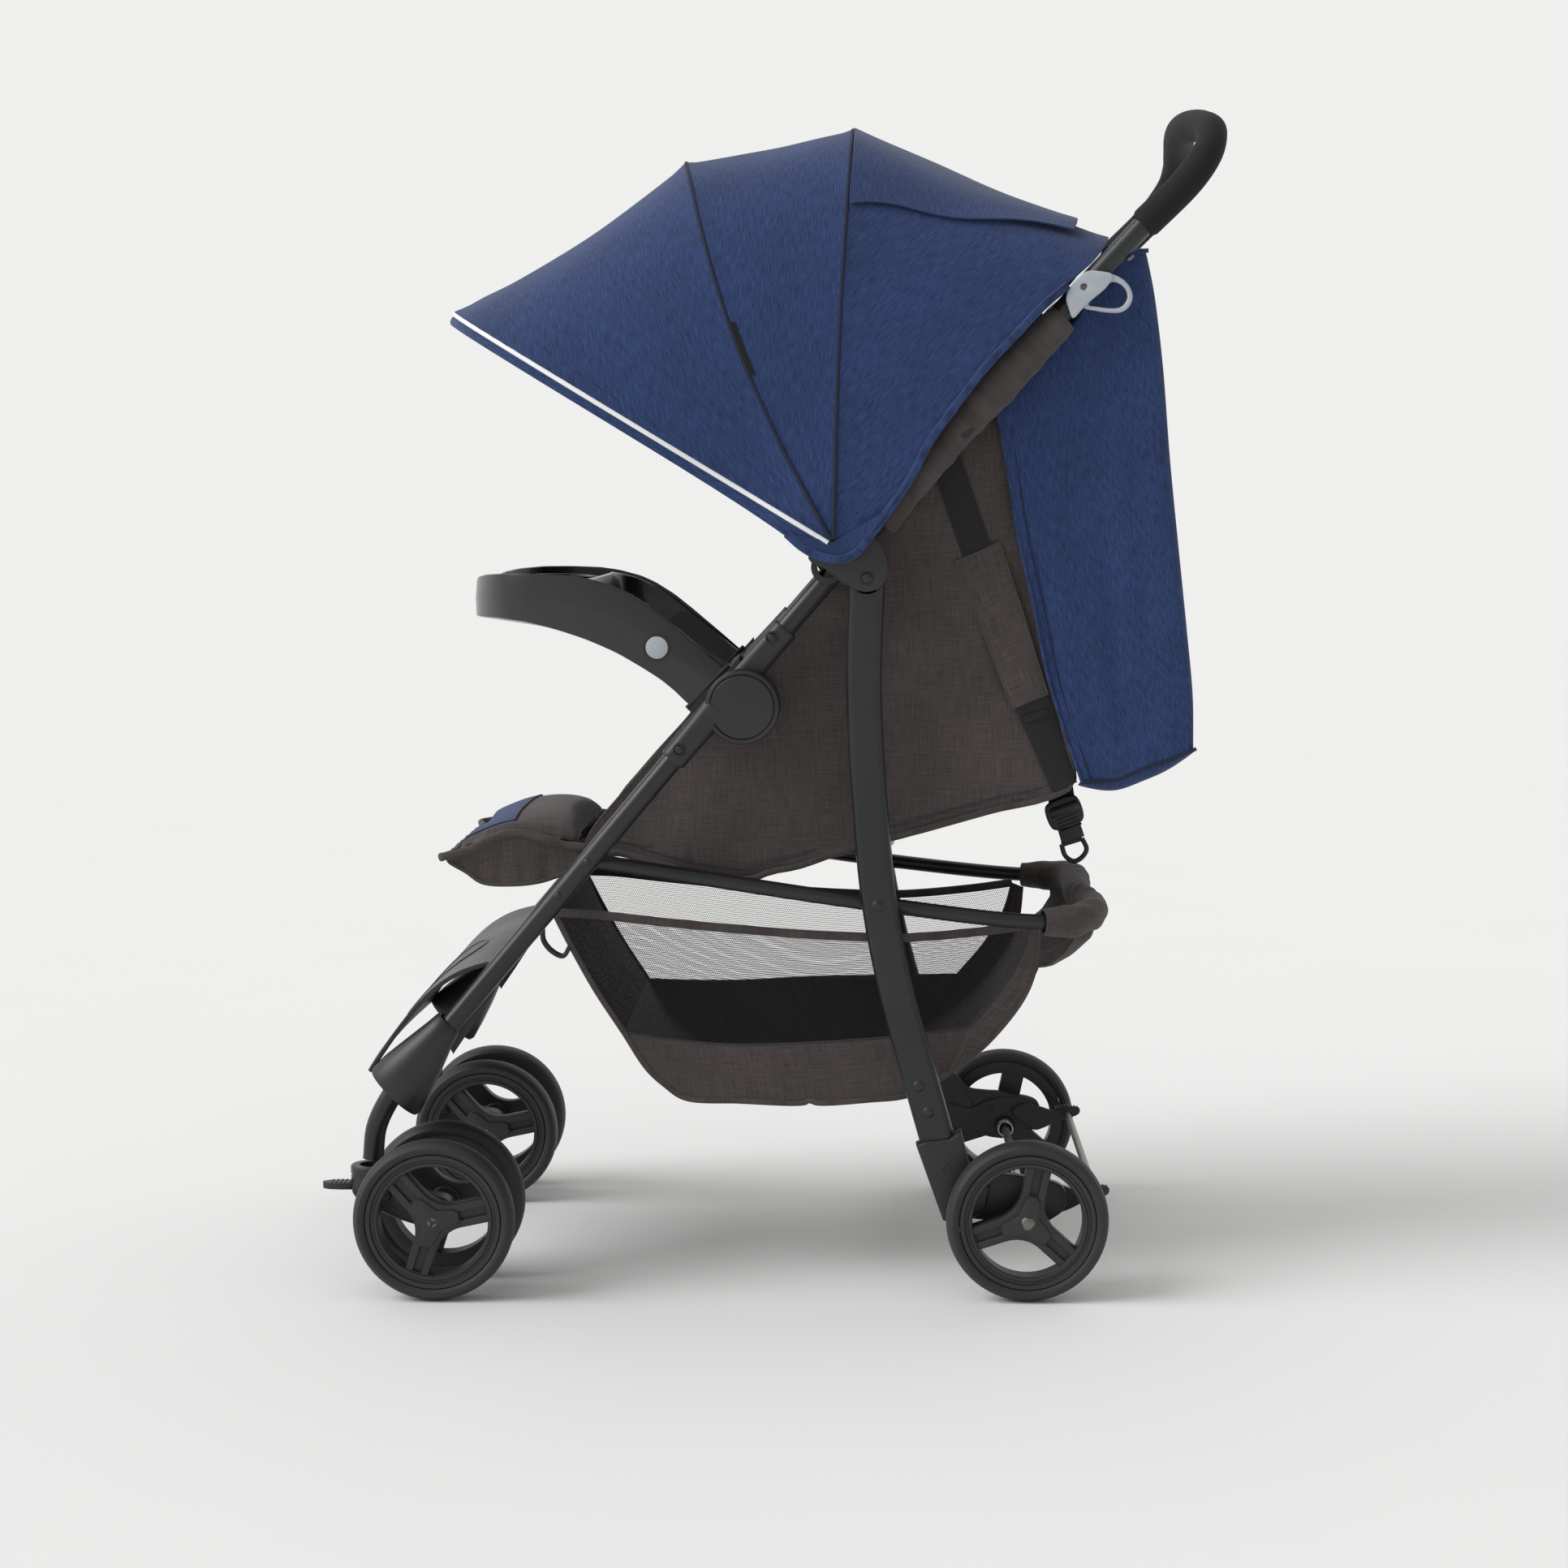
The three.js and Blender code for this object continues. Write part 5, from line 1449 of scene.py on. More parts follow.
def coons(u, v, left, right, top, low):
    """Point of a patch between four boundary lines, each sampled as an array over 0 to 1."""
    def on(line, t):
        return np.array([np.interp(t * (len(line) - 1), np.arange(len(line)), line[:, k])
                         for k in range(2)])
    sides = on(left, v) * (1 - u) + on(right, v) * u
    ends = on(top, u) * (1 - v) + on(low, u) * v
    first = on(top, 0) * (1 - v) + on(low, 0) * v
    last = on(top, 1) * (1 - v) + on(low, 1) * v
    return sides + ends - (first * (1 - u) + last * u)


def back_drape():
    lines = [smooth_path(in_plane(line), 60)[:, [0, 2]]
             for line in (DRAPE_FRONT, DRAPE_REAR, DRAPE_TOP, DRAPE_LOW)]
    rows = []
    for v in np.linspace(0, 1, 70):
        near = []
        for u in np.linspace(0, 1, 40):
            x, z = coons(u, v, *lines)
            fold = 2.4 * math.sin(13 * u - 3.0 * v + 0.4) * math.sin(math.pi * min(1, u * 1.3))
            fold += 1.3 * math.sin(27 * u + 6 * v)
            fold += 1.8 * math.sin(9 * u + 16 * v) * v ** 3
            keep = math.sin(math.pi * min(max(v, 0.02), 0.97)) ** 0.35 * (1 - u ** 8)
            y = DRAPE_Y - 3.5 + 0.8 * fold * keep
            turn = max(0.0, (u - 0.93) / 0.07)
            near.append((x - 2.4 * turn ** 2, -(y - 6.5 * turn ** 2.2), z))
        x, _, z = near[-1]
        across = []
        for w in np.linspace(0, 1, 42)[1:-1]:
            y = -(DRAPE_Y - 10) * math.cos(math.pi * w)
            arch = math.sin(math.pi * w)
            swell = 5.5 * arch + 1.6 * math.sin(7 * math.pi * w + 2 * v) * arch
            join = math.sin(math.pi * w) ** 0.6 * (1 - v) ** 9
            across.append((x + swell * (0.4 + 0.6 * math.sin(math.pi * v)) - 2.0 - 24 * join, y,
                           z + 15 * join))
        far = [(px, -py, pz) for px, py, pz in reversed(near)]
        rows.append(near + across + far)
    drape = grid("back_drape_cloth", rows, BLUE)
    modified(drape, "SOLIDIFY", 60, thickness=1.4 * MM, offset=0)
    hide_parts("back_drape")
    trim = []
    front = [smooth_path(in_plane(DRAPE_FRONT), 60), smooth_path(in_plane(DRAPE_LOW), 40)]
    for _, side in SIDES:
        y = side * (DRAPE_Y - 2.6)
        trim.append(sweep("hem", [(p[0] + 1.2, y, p[2]) for p in front[0]], stadium(2.6, 3.6, 1.1, 4),
                          BLUE, uv=True, side=(0, 1, 0)))
        trim.append(sweep("stitch", [(p[0] + 10, side * (DRAPE_Y - 2.4), p[2] + 1) for p in front[0][3:]],
                          circle(0.5, 6), BLUE_THREAD))
        trim.append(sweep("low", [(p[0], y, p[2]) for p in front[1]], circle(1.7, 10), BLUE_THREAD,
                          uv=True))
        under = []
        for k in np.linspace(0, 1, 8):
            under.append([(p[0] - 1, side * (DRAPE_Y - 3.2 - 16 * k ** 1.6),
                           p[2] - (3 + 9.5 * math.sin(math.pi * s) ** 0.8) * math.sin(math.pi / 2 * k))
                          for s, p in zip(np.linspace(0, 1, 41), front[1])])
        trim.append(grid("under", under, BLUE, thickness=1.4))
        top = smooth_path(in_plane(DRAPE_TOP), 60)
        trim.append(sweep("top", [(p[0], side * (DRAPE_Y - 4.2), p[2]) for p in top], circle(2.0, 10),
                          BLUE, uv=True))
    low_back = sweep("low_back",
                     [(150.5 + 4 * math.cos(y / 103), y, 490)
                      for y in np.linspace(-(DRAPE_Y - 8), DRAPE_Y - 8, 40)], circle(1.7, 10),
                     BLUE_THREAD, uv=True)
    trim.append(low_back)
    edge = merged("back_drape_hems", trim)
    carry("handle", drape, edge)
    for made in (drape, edge):
        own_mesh(made)
    measure_cloth(drape)


canopy_parts()
side_wings()
back_drape()


# ---------------------------------------------------------------- padded seat
PUFF_FRAMES = 20
PUFF_PRESSURE = 4.0
VOXEL = 5.0


def pillow(name, stations, half, side_pull=5.0, power=3.2, across=44):
    """Closed lens through stations of (x, seam z, rise, drop), its sides pulled in between corners."""
    s = np.array(stations, float)
    count = 40
    along = np.linspace(0, 1, count + 1)
    lines = np.stack([np.interp(along, np.linspace(0, 1, 201), curve_at(s, np.linspace(0, 1, 201))[:, k])
                      for k in range(4)], 1)
    points, faces = [], []
    for top in (1, -1):
        for i, (x, z, rise, drop) in enumerate(lines):
            for j in range(across + 1):
                w = 2 * j / across - 1
                share = i / count
                wide = half - side_pull * math.sin(math.pi * share)
                pull = side_pull * math.cos(math.pi * w / 2) * math.cos(math.pi * share)
                crown = max(1 - abs(w) ** power, 0) ** 0.55
                ends = max(1 - abs(2 * share - 1) ** 7, 0) ** 0.5
                height = (rise if top > 0 else -drop) * crown * ends
                points.append((x + pull, w * wide, z + height))
    n = across + 1
    base = (count + 1) * n
    for layer, offset in ((1, 0), (-1, base)):
        for i in range(count):
            for j in range(across):
                quad = [offset + i * n + j, offset + i * n + j + 1, offset + (i + 1) * n + j + 1,
                        offset + (i + 1) * n + j]
                faces.append(quad if layer > 0 else quad[::-1])
    return piece(name, points, faces, PADDING, 180)


def puffed(made, cap, voxel=VOXEL, pressure=PUFF_PRESSURE):
    """Cloth inflated from inside; no point may move further than cap, in millimetres."""
    modified(made, "REMESH", 180, mode="VOXEL", voxel_size=voxel * MM)
    modified(made, "SMOOTH", 180, factor=0.5, iterations=3)
    scene = bpy.context.scene
    count = len(made.data.vertices)
    start = np.zeros(count * 3)
    made.data.vertices.foreach_get("co", start)
    cloth = made.modifiers.new("puff", "CLOTH")
    cloth.settings.use_pressure = True
    cloth.settings.uniform_pressure_force = pressure
    cloth.settings.effector_weights.gravity = 0
    cloth.settings.quality = 4
    cloth.point_cache.frame_start = 1
    cloth.point_cache.frame_end = PUFF_FRAMES
    for number in range(1, PUFF_FRAMES + 1):
        scene.frame_set(number)
    shaped = made.evaluated_get(bpy.context.evaluated_depsgraph_get()).to_mesh()
    moved = np.zeros(count * 3)
    shaped.vertices.foreach_get("co", moved)
    made.modifiers.clear()
    scene.frame_set(1)
    start, moved = start.reshape(-1, 3), moved.reshape(-1, 3)
    step = moved - start
    length = np.linalg.norm(step, axis=1, keepdims=True)
    step *= np.minimum(1, cap * MM / np.maximum(length, 1e-9))
    made.data.vertices.foreach_set("co", (start + step).ravel())
    modified(made, "SUBSURF", 180, levels=1)
    return made


def sewn(made, lines, depth, width):
    """Presses stitched channels into a pad along lines of millimetre points, wherever it faces them."""
    marks = np.vstack([row(smooth_path(line, 160)) for line in lines])
    tree = KDTree(len(marks))
    for i, mark in enumerate(marks):
        tree.insert(mark, i)
    tree.balance()
    count = len(made.data.vertices)
    spots, ways = np.zeros(count * 3), np.zeros(count * 3)
    made.data.vertices.foreach_get("co", spots)
    made.data.vertex_normals.foreach_get("vector", ways)
    spots, ways = spots.reshape(-1, 3), ways.reshape(-1, 3)
    far = np.array([tree.find(spot)[2] for spot in spots])
    press = depth * MM * np.exp(-(far / (width * MM)) ** 2)
    made.data.vertices.foreach_set("co", (spots - ways * press[:, None]).ravel())
    made.data.update()


def surface_of(made):
    """A copy of the surface as it is now, to drop points on."""
    return BVHTree.FromPolygons([v.co[:] for v in made.data.vertices],
                                [p.vertices[:] for p in made.data.polygons])


def on_surface(tree, points, lift, way=(0, 0, -1)):
    """Drops millimetre points onto a surface along way and lifts them off again."""
    way = Vector(way).normalized()
    placed = []
    for p in points:
        start = at(*p) - way * 0.12
        hit = tree.ray_cast(start, way)[0] or tree.find_nearest(at(*p))[0]
        spot = hit - way * lift * MM
        placed.append(((spot.x - AXLE.x) / MM, spot.y / MM, spot.z / MM))
    return placed


LEG_TOP = [(-531, 391.5, 3, 2), (-516, 396, 6, 3), (-500, 402, 7, 4), (-478, 409, 8, 6),
           (-450, 410, 12, 8), (-424, 405, 17, 8), (-409, 401, 19, 7), (-403, 401, 16, 6)]
LEG_SEAM = [(-402, 400), (-420, 402), (-438, 407.5), (-467, 412.5), (-488, 407.5), (-509, 397),
            (-533, 390.6)]
FRONT_POINTS = 58, 92
SKIRT_LOW = [(-402, 377), (-413, 377.5), (-443, 368), (-468, 365), (-497, 367), (-511, 376.5),
             (-527, 386)]


def around_front(line, half, corner=10):
    """A side line mirrored round the front of the leg rest, left side first."""
    left = [(x, -half, z) for x, z in line]
    tip_x, tip_z = line[-1]
    middle = [(tip_x + 5, y, tip_z - 0.5) for y in np.linspace(-half + 3 * corner, half - 3 * corner, 5)]
    right = [(x, half, z) for x, z in reversed(line)]
    return smooth_path([*left, *middle, *right], 150)


def leg_rest_parts():
    pad = puffed(pillow("leg_rest_pad", LEG_TOP, 148), 5)
    top = surface_of(pad)
    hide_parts("leg_rest")
    seam = around_front(LEG_SEAM, 150.5)
    swell = [1 + 0.14 * math.sin(0.9 * i) * math.sin(0.23 * i) for i in range(len(seam))]
    piping = sweep("leg_rest_piping", seam, stadium(7.4, 5.6, 2.7, 5), MELANGE, swell, uv=True)
    low = around_front(SKIRT_LOW, 148)
    rows = []
    for k in np.linspace(0, 1, 12):
        line = []
        for i, (p, q) in enumerate(zip(seam, low)):
            spot = p + (q - p) * k
            wide = 1.7 * math.sin(0.42 * i + 1.2 * math.sin(0.1 * i)) * k * (1.3 - k)
            pleat = wide + 0.9 * math.sin(1.13 * i) * k
            ahead = FRONT_POINTS[0] < i < FRONT_POINTS[1]
            out = np.array([-1.0, 0, 0]) if ahead else np.array([0, math.copysign(1.0, spot[1]), 0])
            line.append(spot + out * (pleat - 2.2 * math.sin(math.pi * k)))
        rows.append(line)
    skirt = grid("leg_rest_skirt_cloth", rows, MELANGE)
    modified(skirt, "SOLIDIFY", 60, thickness=1.5 * MM, offset=0)
    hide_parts("leg_rest_skirt")
    under = []
    for k in np.linspace(0, 1, 14):
        line = []
        for j in np.linspace(-1, 1, 34):
            x, z = [np.interp(k, np.linspace(0, 1, 7), [q[c] for q in SKIRT_LOW]) for c in range(2)]
            drop = 2.0 * math.sin(5 * j + 4 * k) * (1 - j * j) + 0.6
            line.append((x, 147 * j, z + 1.5 + drop * math.sin(math.pi * k)))
        under.append(line)
    base = grid("leg_rest_under", under, MELANGE, thickness=1.4)
    hem = sweep("leg_rest_skirt_hem", low, circle(1.9, 10), MELANGE, uv=True)
    rows = []
    for x in np.linspace(-521, -469, 26):
        spots = [(x - 2.2 * math.cos(math.pi * y / 240), y, 425) for y in np.linspace(-118, 118, 72)]
        rows.append(on_surface(top, spots, 0.7))
    patch = grid("leg_rest_patch", rows, BLUE, thickness=1.2)
    edge = sweep("leg_rest_patch_edge", rows[-1], circle(1.0, 8), BINDING)
    carry("leg_rest", pad, piping, skirt, base, hem, patch, edge)
    measure_cloth(skirt)


STRAP_SECTION = stadium(1.8, 25, 0.8, 4)
PRONG_SECTION = stadium(4.4, 21, 1.6, 4)
PRONG_SHAPE = [1.12, 1.12, 1.1, 0.9, 0.72, 0.72, 0.8, 0.66]
SEAT_TOP = [(-400, 408, 9, 10), (-397, 408, 15, 12), (-386, 409, 18, 13), (-366, 408, 18, 12),
            (-338, 402, 14, 11), (-290, 399, 12, 9), (-230, 398, 11, 9), (-170, 398, 11, 9),
            (-146, 398, 9, 8)]


def seat_parts():
    pad = puffed(pillow("seat_pad_soft", SEAT_TOP, 146, 2.5, 9.0), 4)
    channels = [[(x, y, 418) for x in (-330, -250, -160)] for y in (-96, 96)]
    channels += [[(x, y, 415) for y in (-90, 0, 90)] for x in (-330, -205)]
    top = surface_of(pad)
    sewn(pad, [on_surface(top, line, 0) for line in channels], 5.0, 7)
    top = surface_of(pad)
    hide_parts("seat_pad")
    seam = [(x, -149, z - 2) for x, z, _, _ in SEAT_TOP[1:]]
    seams = [sweep("seam", smooth_path([(x, s * 148.5, z) for x, _, z in seam], 60), circle(2.4, 10),
                   MELANGE, uv=True) for s in (-1, 1)]
    piping = merged("seat_piping", seams)
    rod = sweep("seat_hinge_rod_fine", [(-124, y, 406) for y in np.linspace(-146, 146, 20)],
                circle(5, 20), STEEL)
    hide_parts("seat_hinge_rod")
    carry("seat_hinge", rod)
    carry("basket_frame", pad, piping)
    crotch = on_surface(top, [(x, 0, 420) for x in np.linspace(-305, -266, 14)], 1.2)
    crotch += [(-263, 0, crotch[-1][2] + 3), (-262, 0, 411)]
    strap = sweep("crotch_strap", smooth_path(crotch, 26), STRAP_SECTION, WEBBING, uv=True,
                  side=(0, 1, 0))
    shell = sweep("buckle", [(x, 0, 427) for x in (-269, -268, -266.5, -257.5, -256, -255)],
                  [(a * 0.98, b) for a, b in stadium(33, 43, 11, 7)], PLASTIC,
                  [0.9, 0.97, 1, 1, 0.97, 0.9], side=(0, 1, 0))
    button = lathe("buckle_button", [(0.01, 0), (8.2, 0), (8.6, 0.8), (7.4, 1.5), (0.01, 1.3)], (0, 0, 0),
                   GREY, 32, "Z")
    button.data.transform(Matrix.Translation(at(-269, 0, 427)) @ Matrix.Rotation(-math.pi / 2, 4, "Y")
                          @ Matrix.Translation(-at(0, 0, 0)))
    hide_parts("harness_buckle")
    carry("basket_frame", strap, shell, button)
    parts = []
    for _, side in SIDES:
        line = on_surface(top,
                          [(-158 - 60 * s, side * (112 - 62 * s), 420) for s in np.linspace(0, 1, 24)],
                          1.4)
        parts.append(sweep("waist", line, STRAP_SECTION, WEBBING, uv=True))
        x, y, z = line[-1]
        parts.append(sweep("prong",
                           [(x - 24 * s, y - side * 14 * s, z + 1.2) for s in np.linspace(0, 1, 8)],
                           PRONG_SECTION, PLASTIC, PRONG_SHAPE))
    straps = merged("waist_straps", parts)
    carry("basket_frame", straps)


BACK_FROM, BACK_TO = np.array([-113.0, 429.0]), np.array([57.0, 828.0])


def back_point(t, y, out):
    """A point of the backrest: share of its height, sideways, and in front of its middle plane."""
    x, z = BACK_FROM + (BACK_TO - BACK_FROM) * t
    up = (BACK_TO - BACK_FROM) / np.linalg.norm(BACK_TO - BACK_FROM)
    return x - up[1] * out, y, z + up[0] * out


def backrest_parts():
    lens = pillow("backrest_soft",
                  [(0, 0, 5, 5), (12, 0, 8, 7), (140, 0, 9, 7), (290, 0, 9, 7), (420, 0, 8, 7),
                   (432, 0, 5, 5)], 145, 2.0, 9.0)
    up = (BACK_TO - BACK_FROM) / np.linalg.norm(BACK_TO - BACK_FROM)
    start = at(BACK_FROM[0], 0, BACK_FROM[1])
    for vertex in lens.data.vertices:
        a, h = vertex.co.x - AXLE.x, vertex.co.z
        vertex.co = (start.x + up[0] * a - up[1] * h, vertex.co.y, start.z + up[1] * a + up[0] * h)
    pad = puffed(lens, 4)
    front = (up[1], 0, -up[0])
    lines = [[back_point(t, y, 22) for t in (0.08, 0.5, 0.92)] for y in (-70, 70)]
    lines += [[back_point(t, y, 22) for y in (-64, 0, 64)] for t in (0.22, 0.4, 0.58, 0.76)]
    lines += [[back_point(t, s * y, 22) for y in (78, 108, 138)] for t in (0.3, 0.55, 0.8)
              for s in (-1, 1)]
    top = surface_of(pad)
    sewn(pad, [on_surface(top, line, 0, front) for line in lines], 4.5, 6)
    top = surface_of(pad)
    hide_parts("backrest")
    carry("backrest", pad)
    edge = smooth_path([back_point(t, y, 0)
                        for t, y in ((0.02, -148), (0.5, -147), (0.97, -147), (0.998, -138), (1.003, 0),
                                     (0.998, 138), (0.97, 147), (0.5, 147), (0.02, 148))], 160)
    piping = sweep("backrest_piping", edge, circle(2.4, 10), MELANGE, uv=True)
    straps, cushions = [], []
    for _, side in SIDES:
        spots = [back_point(t, side * (44 + 14 * (1 - t)), 30) for t in np.linspace(0.75, 0.15, 46)]
        line = on_surface(top, spots, 1.5, front)
        straps.append(sweep("shoulder", line, STRAP_SECTION, WEBBING, uv=True, side=(0, 1, 0)))
        straps.append(sweep("prong",
                            [np.array(line[-1]) + (np.array(line[-1]) - line[-2]) * k
                             for k in np.linspace(0.1, 3.2, 8)], PRONG_SECTION, PLASTIC, PRONG_SHAPE,
                            side=(0, 1, 0)))
        slot = [np.array(line[0]) + np.array([0.4, 0, 1.0]) * k for k in (0, 4)]
        straps.append(sweep("slot", [slot[0], (slot[0] + slot[1]) / 2, slot[1]], stadium(3.0, 32, 1.3, 4),
                            BINDING, side=(0, 1, 0)))
        body = [np.array(p) - np.array(front) * 3.4 for p in line[5:29]]
        ends = [min(1.0, 0.55 + 0.45 * min(i, 23 - i) / 2.2) for i in range(24)]
        cushions.append(sweep("cushion", body, stadium(7.6, 46, 3.6, 6), PADDING, ends, side=(0, 1, 0)))
    harness = merged("shoulder_straps", straps)
    pads = merged("shoulder_pads", cushions)
    carry("backrest", piping, harness, pads)
    adjuster_parts()


def adjuster_parts():
    body = plate("body",
                 [loop_of([(30.5, 426), (52, 434.5), (58, 432), (64, 414), (61, 408.5), (38, 400.5),
                           (33, 403), (27, 421)], 60)], -5.5, 5.5, PLASTIC, 1.6)
    tongue = plate("tongue", [[(39, 402), (60, 409.5), (64, 398), (65, 395), (44.5, 387), (43, 389)]],
                   -3.2, 3.2, PLASTIC, 1.0)
    roll = sweep("roll", [(31.5 + 27 * s, 0, 416 + 10.4 * s) for s in np.linspace(0, 1, 10)],
                 circle(7.6, 24), PLASTIC, [0.9, 1, 1, 1, 1, 1, 1, 1, 1, 0.9])
    ribs = [sweep("rib",
                  [(37.6 + 1.6 * k + 19.5 * s, side * 5.2, 410 - 3.4 * k + 7.6 * s)
                   for s in np.linspace(0, 1, 5)], circle(0.9, 8), PLASTIC) for k in range(4)
            for side in (-1, 1)]
    block = merged("strap_adjuster_fine", [body, tongue, roll, *ribs])
    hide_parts("strap_adjuster")
    strap = band("strap", [(24, 462), (49, 470), (56, 428), (32, 419)], -0.5, WEBBING, 1, 1.8, 0.6, 14)
    strap.name = "recline_strap"
    carry("backrest", block, strap)
    centre = [(43.2, 386.5), (47, 375.5), (55, 370.4), (62, 373.5), (67.2, 382), (62.8, 392.6)]
    ring_line = smooth_path([(x, 0, z) for x, z in centre], 44)
    bar = [(43.2 + 19.6 * s, 0, 386.5 + 6.1 * s) for s in np.linspace(0, 1, 8)]
    ring = merged("d_ring_fine",
                  [sweep("loop", ring_line, stadium(4.6, 6.4, 2.0, 5), PLASTIC, side=(0, 1, 0)),
                   sweep("bar", bar, circle(2.6, 14), PLASTIC)])
    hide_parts("d_ring")
    carry("d_ring", ring)


# ---------------------------------------------------------------- basket
RIM = [(-430, 340), (-400, 339), (-351, 333.7), (-293, 328), (-218, 322), (-165, 319), (-110, 318),
       (-39, 324), (4, 330)]
NET_FRONT = [(-430, 340), (-415.6, 311.3), (-393, 270), (-367, 230)]
NET_REAR = [(4, 330), (-5, 300), (-24, 268), (-51, 236)]
BAND_TOP = [(-367, 230), (-318.5, 223), (-268, 219), (-197, 221), (-110, 228), (-51, 236)]
BASKET_LOW = [(-345, 196), (-329, 181), (-311, 169), (-261, 166.3), (-201, 165), (-196, 167.3),
              (-191, 165), (-142, 167.8), (-105.7, 172.5), (-69, 192)]
BACK_EDGE = [(14, 326), (10, 291), (-1, 262), (-35, 219), (-69, 192)]
BASKET_HALF = 153.5


def side_sheet(name, left, right, top, low, side, look, bulge, count=(70, 26)):
    lines = [smooth_path(in_plane(line), 60)[:, [0, 2]] for line in (left, right, top, low)]
    rows = []
    for v in np.linspace(0, 1, count[1]):
        line = []
        for u in np.linspace(0, 1, count[0]):
            x, z = coons(u, v, *lines)
            inside = 0 < u < 1 and 0 < v < 1
            hold = math.sin(math.pi * u) ** 0.5 * math.sin(math.pi * v) ** 0.5 if inside else 0
            wave = 0.8 * math.sin(7 * u + 2 * v) * math.sin(5 * u - 3 * v)
            line.append((x, side * (BASKET_HALF + (bulge + wave) * hold), z))
        rows.append(line)
    return grid(name, rows, look)


def cross_sheet(name, profile, look, sag, wrinkle=1.0, count=(64, 60), half=BASKET_HALF):
    rows = []
    for i, (x, _, z) in enumerate(smooth_path([(x, 0, z) for x, z in profile], count[1])):
        line = []
        for w in np.linspace(-1, 1, count[0]):
            hold = max(1 - w * w, 0) ** 0.6
            ripple = wrinkle * math.sin(9 * w + 0.16 * i) * math.sin(21 * w - 0.1 * i) * hold
            line.append((x, half * w, z - sag * hold * math.sin(math.pi * i / count[1]) + ripple))
        rows.append(line)
    return grid(name, rows, look)


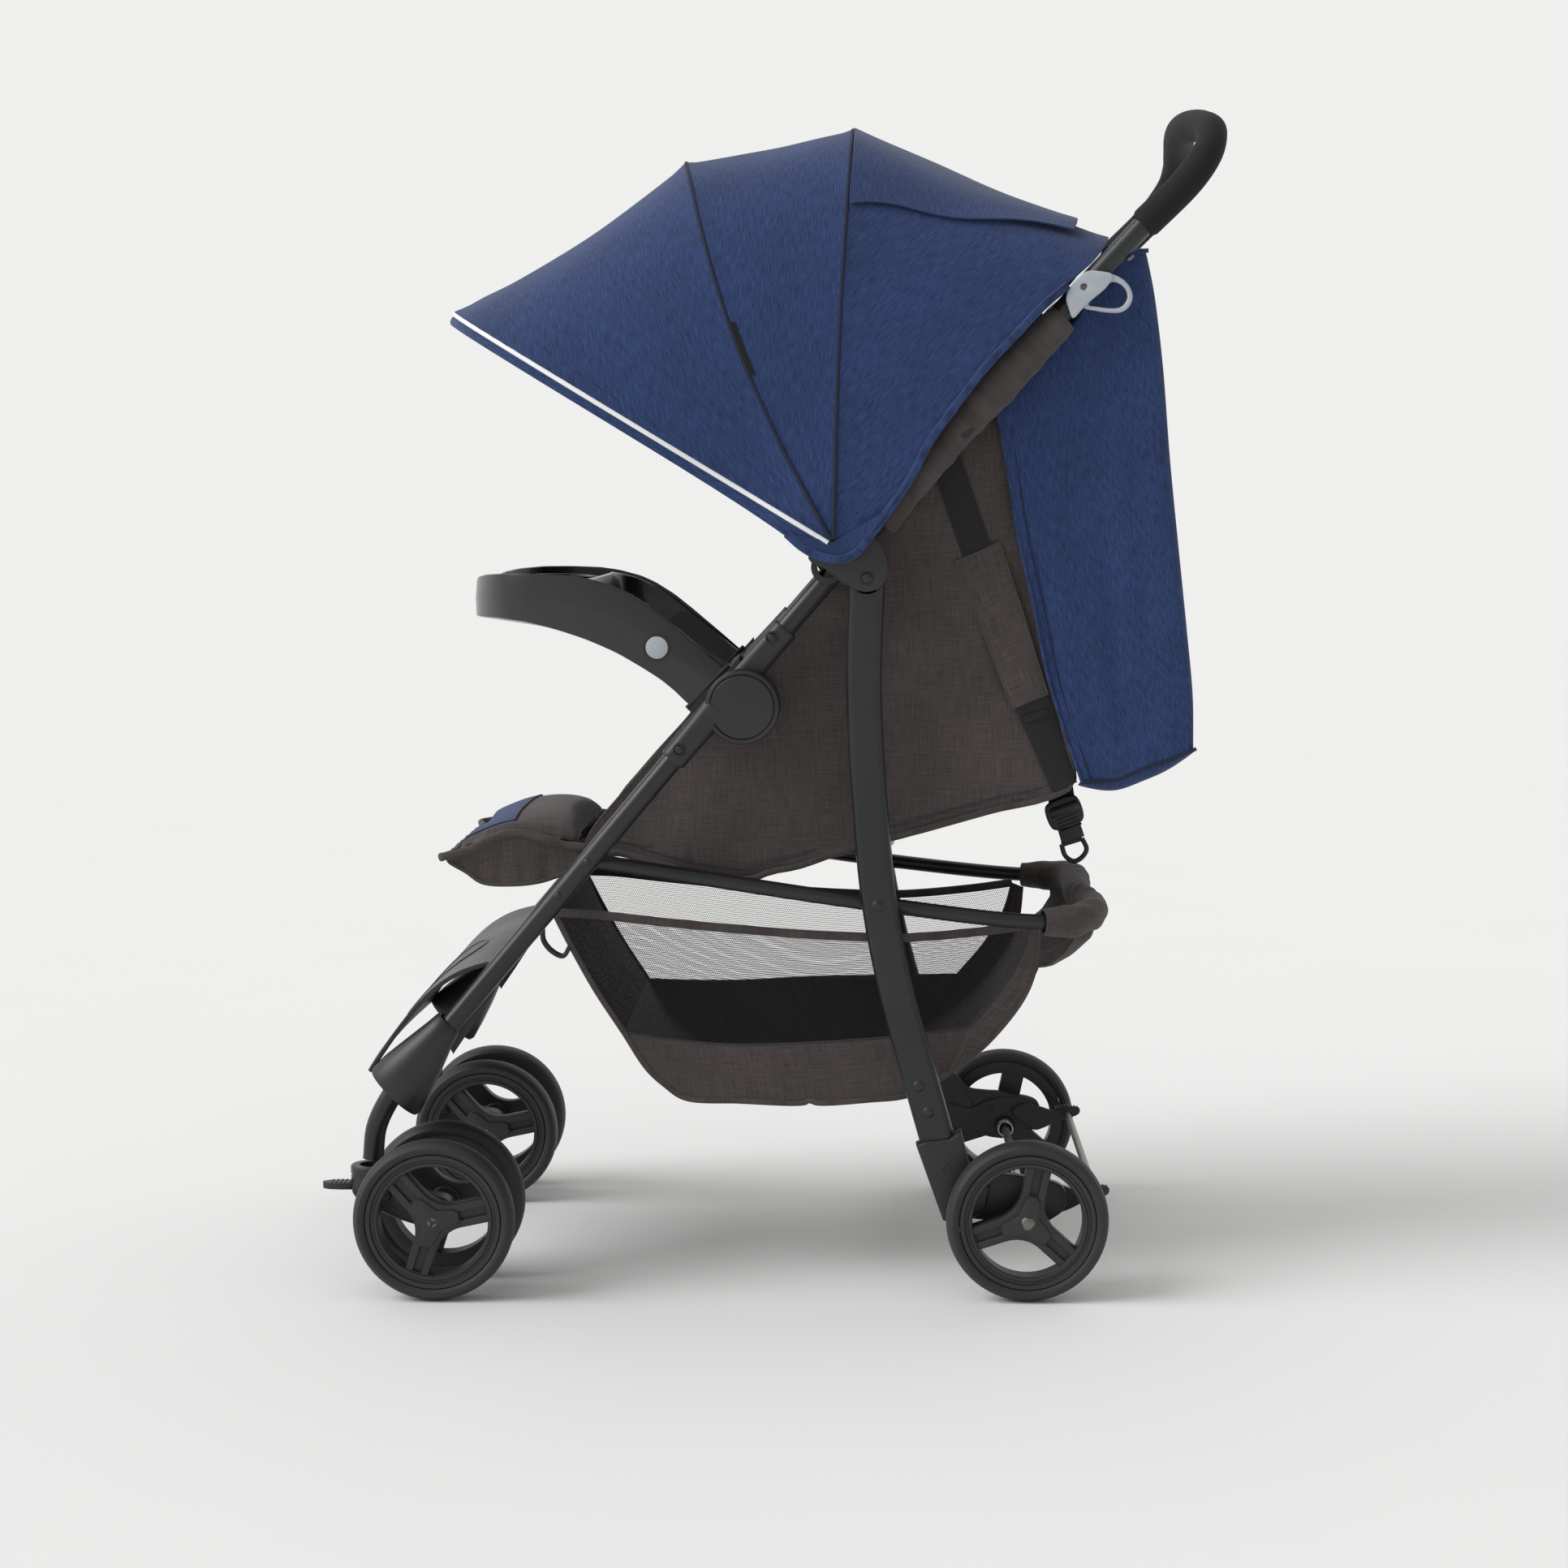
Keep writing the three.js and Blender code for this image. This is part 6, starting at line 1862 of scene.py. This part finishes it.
def basket_parts():
    nets, cloths, trims = [], [], []
    for _, side in SIDES:
        slack = 6 + 6 * side
        top = [(x, z + slack * math.sin(math.pi * (x + 367) / 316)) for x, z in BAND_TOP]
        nets.append(side_sheet("net", NET_FRONT, NET_REAR, RIM, top, side, NET, -5))
        cloths.append(side_sheet("band", [(-367, 230), (-355, 210), (-345, 196)],
                                 [(-51, 236), (-62, 208), (-69, 192)], top, BASKET_LOW, side, MELANGE,
                                 2.0, (70, 16)))
        cloths.append(side_sheet("strip", NET_REAR + [(-62, 208), (-69, 192)], BACK_EDGE,
                                 [(4, 330), (9, 328), (14, 326)],
                                 [(-69, 192), (-69, 192.2), (-69, 192.4)], side, MELANGE, 1.5, (12, 30)))
        y = side * (BASKET_HALF + 0.8)
        rim = in_plane(RIM, y)
        trims.append(sweep("rim", smooth_path(rim, 90), stadium(8.2, 3.2, 1.5, 4), MELANGE, uv=True,
                           side=(0, 1, 0)))
        outer = [*NET_FRONT[:-1], (-367, 230), *BASKET_LOW]
        trims.append(sweep("edge", smooth_path(in_plane(outer, y), 120), stadium(5.6, 3.4, 1.5, 4),
                           MELANGE, uv=True, side=(0, 1, 0)))
        trims.append(sweep("fold", smooth_path([(x, y + side * 0.4, z) for x, z in top], 80),
                           circle(0.7, 8), STITCH))
        trims.append(sweep("back", smooth_path(in_plane(BACK_EDGE, y), 60), circle(1.8, 8), MELANGE,
                           uv=True))
        trims.append(sweep("seam", smooth_path([(x, y + side * 0.5, z) for x, z in NET_REAR], 40),
                           circle(0.9, 8), STITCH))
        hook = smooth_path([(-441, side * 153, 327), (-440, side * 153, 314), (-432, side * 153, 304),
                            (-422, side * 153, 300), (-416, side * 153, 309)], 30)
        trims.append(sweep("hook", hook, stadium(4.2, 9, 1.6, 4), PLASTIC, side=(0, 1, 0)))
    front = cross_sheet("front", [(-430, 344), (-416, 311), (-393, 270), (-367, 230)], BINDING, 0, 1.2,
                        (64, 30))
    front_low = cross_sheet("front_low", [(-367, 230), (-345, 196), (-329, 181)], MELANGE, 0, 0.8,
                            (64, 14))
    floor = cross_sheet("floor",
                        [(-329, 181), (-311, 169.3), (-261, 166.3), (-201, 165), (-142, 167.8),
                         (-105.7, 172.5), (-69, 192), (-35, 219), (-1, 262), (12, 290)], MELANGE, 0.8,
                        0.5)
    cloths += [front, front_low, floor]
    trims.append(sweep("front_rim",
                       [(-430.5, y, 343) for y in np.linspace(-BASKET_HALF, BASKET_HALF, 30)],
                       stadium(9, 3.4, 1.5, 4), MELANGE, uv=True, side=(1, 0, 0)))
    net = merged("basket_net", nets)
    cloth = merged("basket_cloth", cloths)
    modified(cloth, "SOLIDIFY", 60, thickness=1.3 * MM, offset=0)
    trim = merged("basket_trim", trims)
    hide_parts("basket")
    for made in (net, cloth, trim):
        carry("basket_frame", made)
        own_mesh(made)
    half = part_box("basket_rail")[1].y / MM - 7
    rail = smooth_path([(-130, -half, 351), (18, -half, 336), (58, -150, 340), (58, 0, 340),
                        (58, 150, 340), (18, half, 336), (-130, half, 351)], 320)
    path = [p for p in rail if p[0] > 13]
    rows = []
    for i, p in enumerate(path):
        s = i / (len(path) - 1)
        tangent = path[min(i + 1, len(path) - 1)] - path[max(i - 1, 0)]
        tangent /= np.linalg.norm(tangent)
        out = np.cross(tangent, (0, 0, 1))
        ring = []
        for a in full_turn(40):
            end = min(1, min(s, 1 - s) * 18)
            size = 10.6 + (2.6 + 0.7 * math.sin(3 * a + 30 * s) * math.sin(60 * s)
                           + 0.4 * math.sin(70 * s + 3 * a)) * (0.45 + 0.55 * end)
            stretch = 1 + 0.25 * max(0, -math.sin(a)) * end
            ring.append(p + out * size * math.cos(a) + np.array([0, 0, 1]) * size * math.sin(a) * stretch)
        rows.append(ring)
    sleeve = grid("basket_rear_sleeve", rows, MELANGE, wrap=True)
    modified(sleeve, "SOLIDIFY", 60, thickness=1.4 * MM, offset=-1)
    hang = []
    for k in np.linspace(0, 1, 16):
        line = []
        for w in np.linspace(-1, 1, 90):
            x, z = [np.interp(k, (0, 0.25, 0.5, 0.75, 1), values)
                    for values in ((66, 62, 47, 27, 10), (330, 317, 303, 292, 291))]
            gather = 1.6 * math.sin(40 * w + 3 * math.sin(9 * w)) * math.sin(math.pi * k)
            x -= 44 * max(0, abs(w) - 0.86) / 0.14 * (1 - k) * 0.55
            line.append((x, (161 - 7 * k) * w, z + gather))
        hang.append(line)
    gathered = grid("basket_rear_gather", hang, MELANGE, thickness=1.4)
    carry("basket_frame", sleeve, gathered)
    measure_cloth(net, 1)
    measure_cloth(cloth)


leg_rest_parts()
seat_parts()
backrest_parts()
basket_parts()
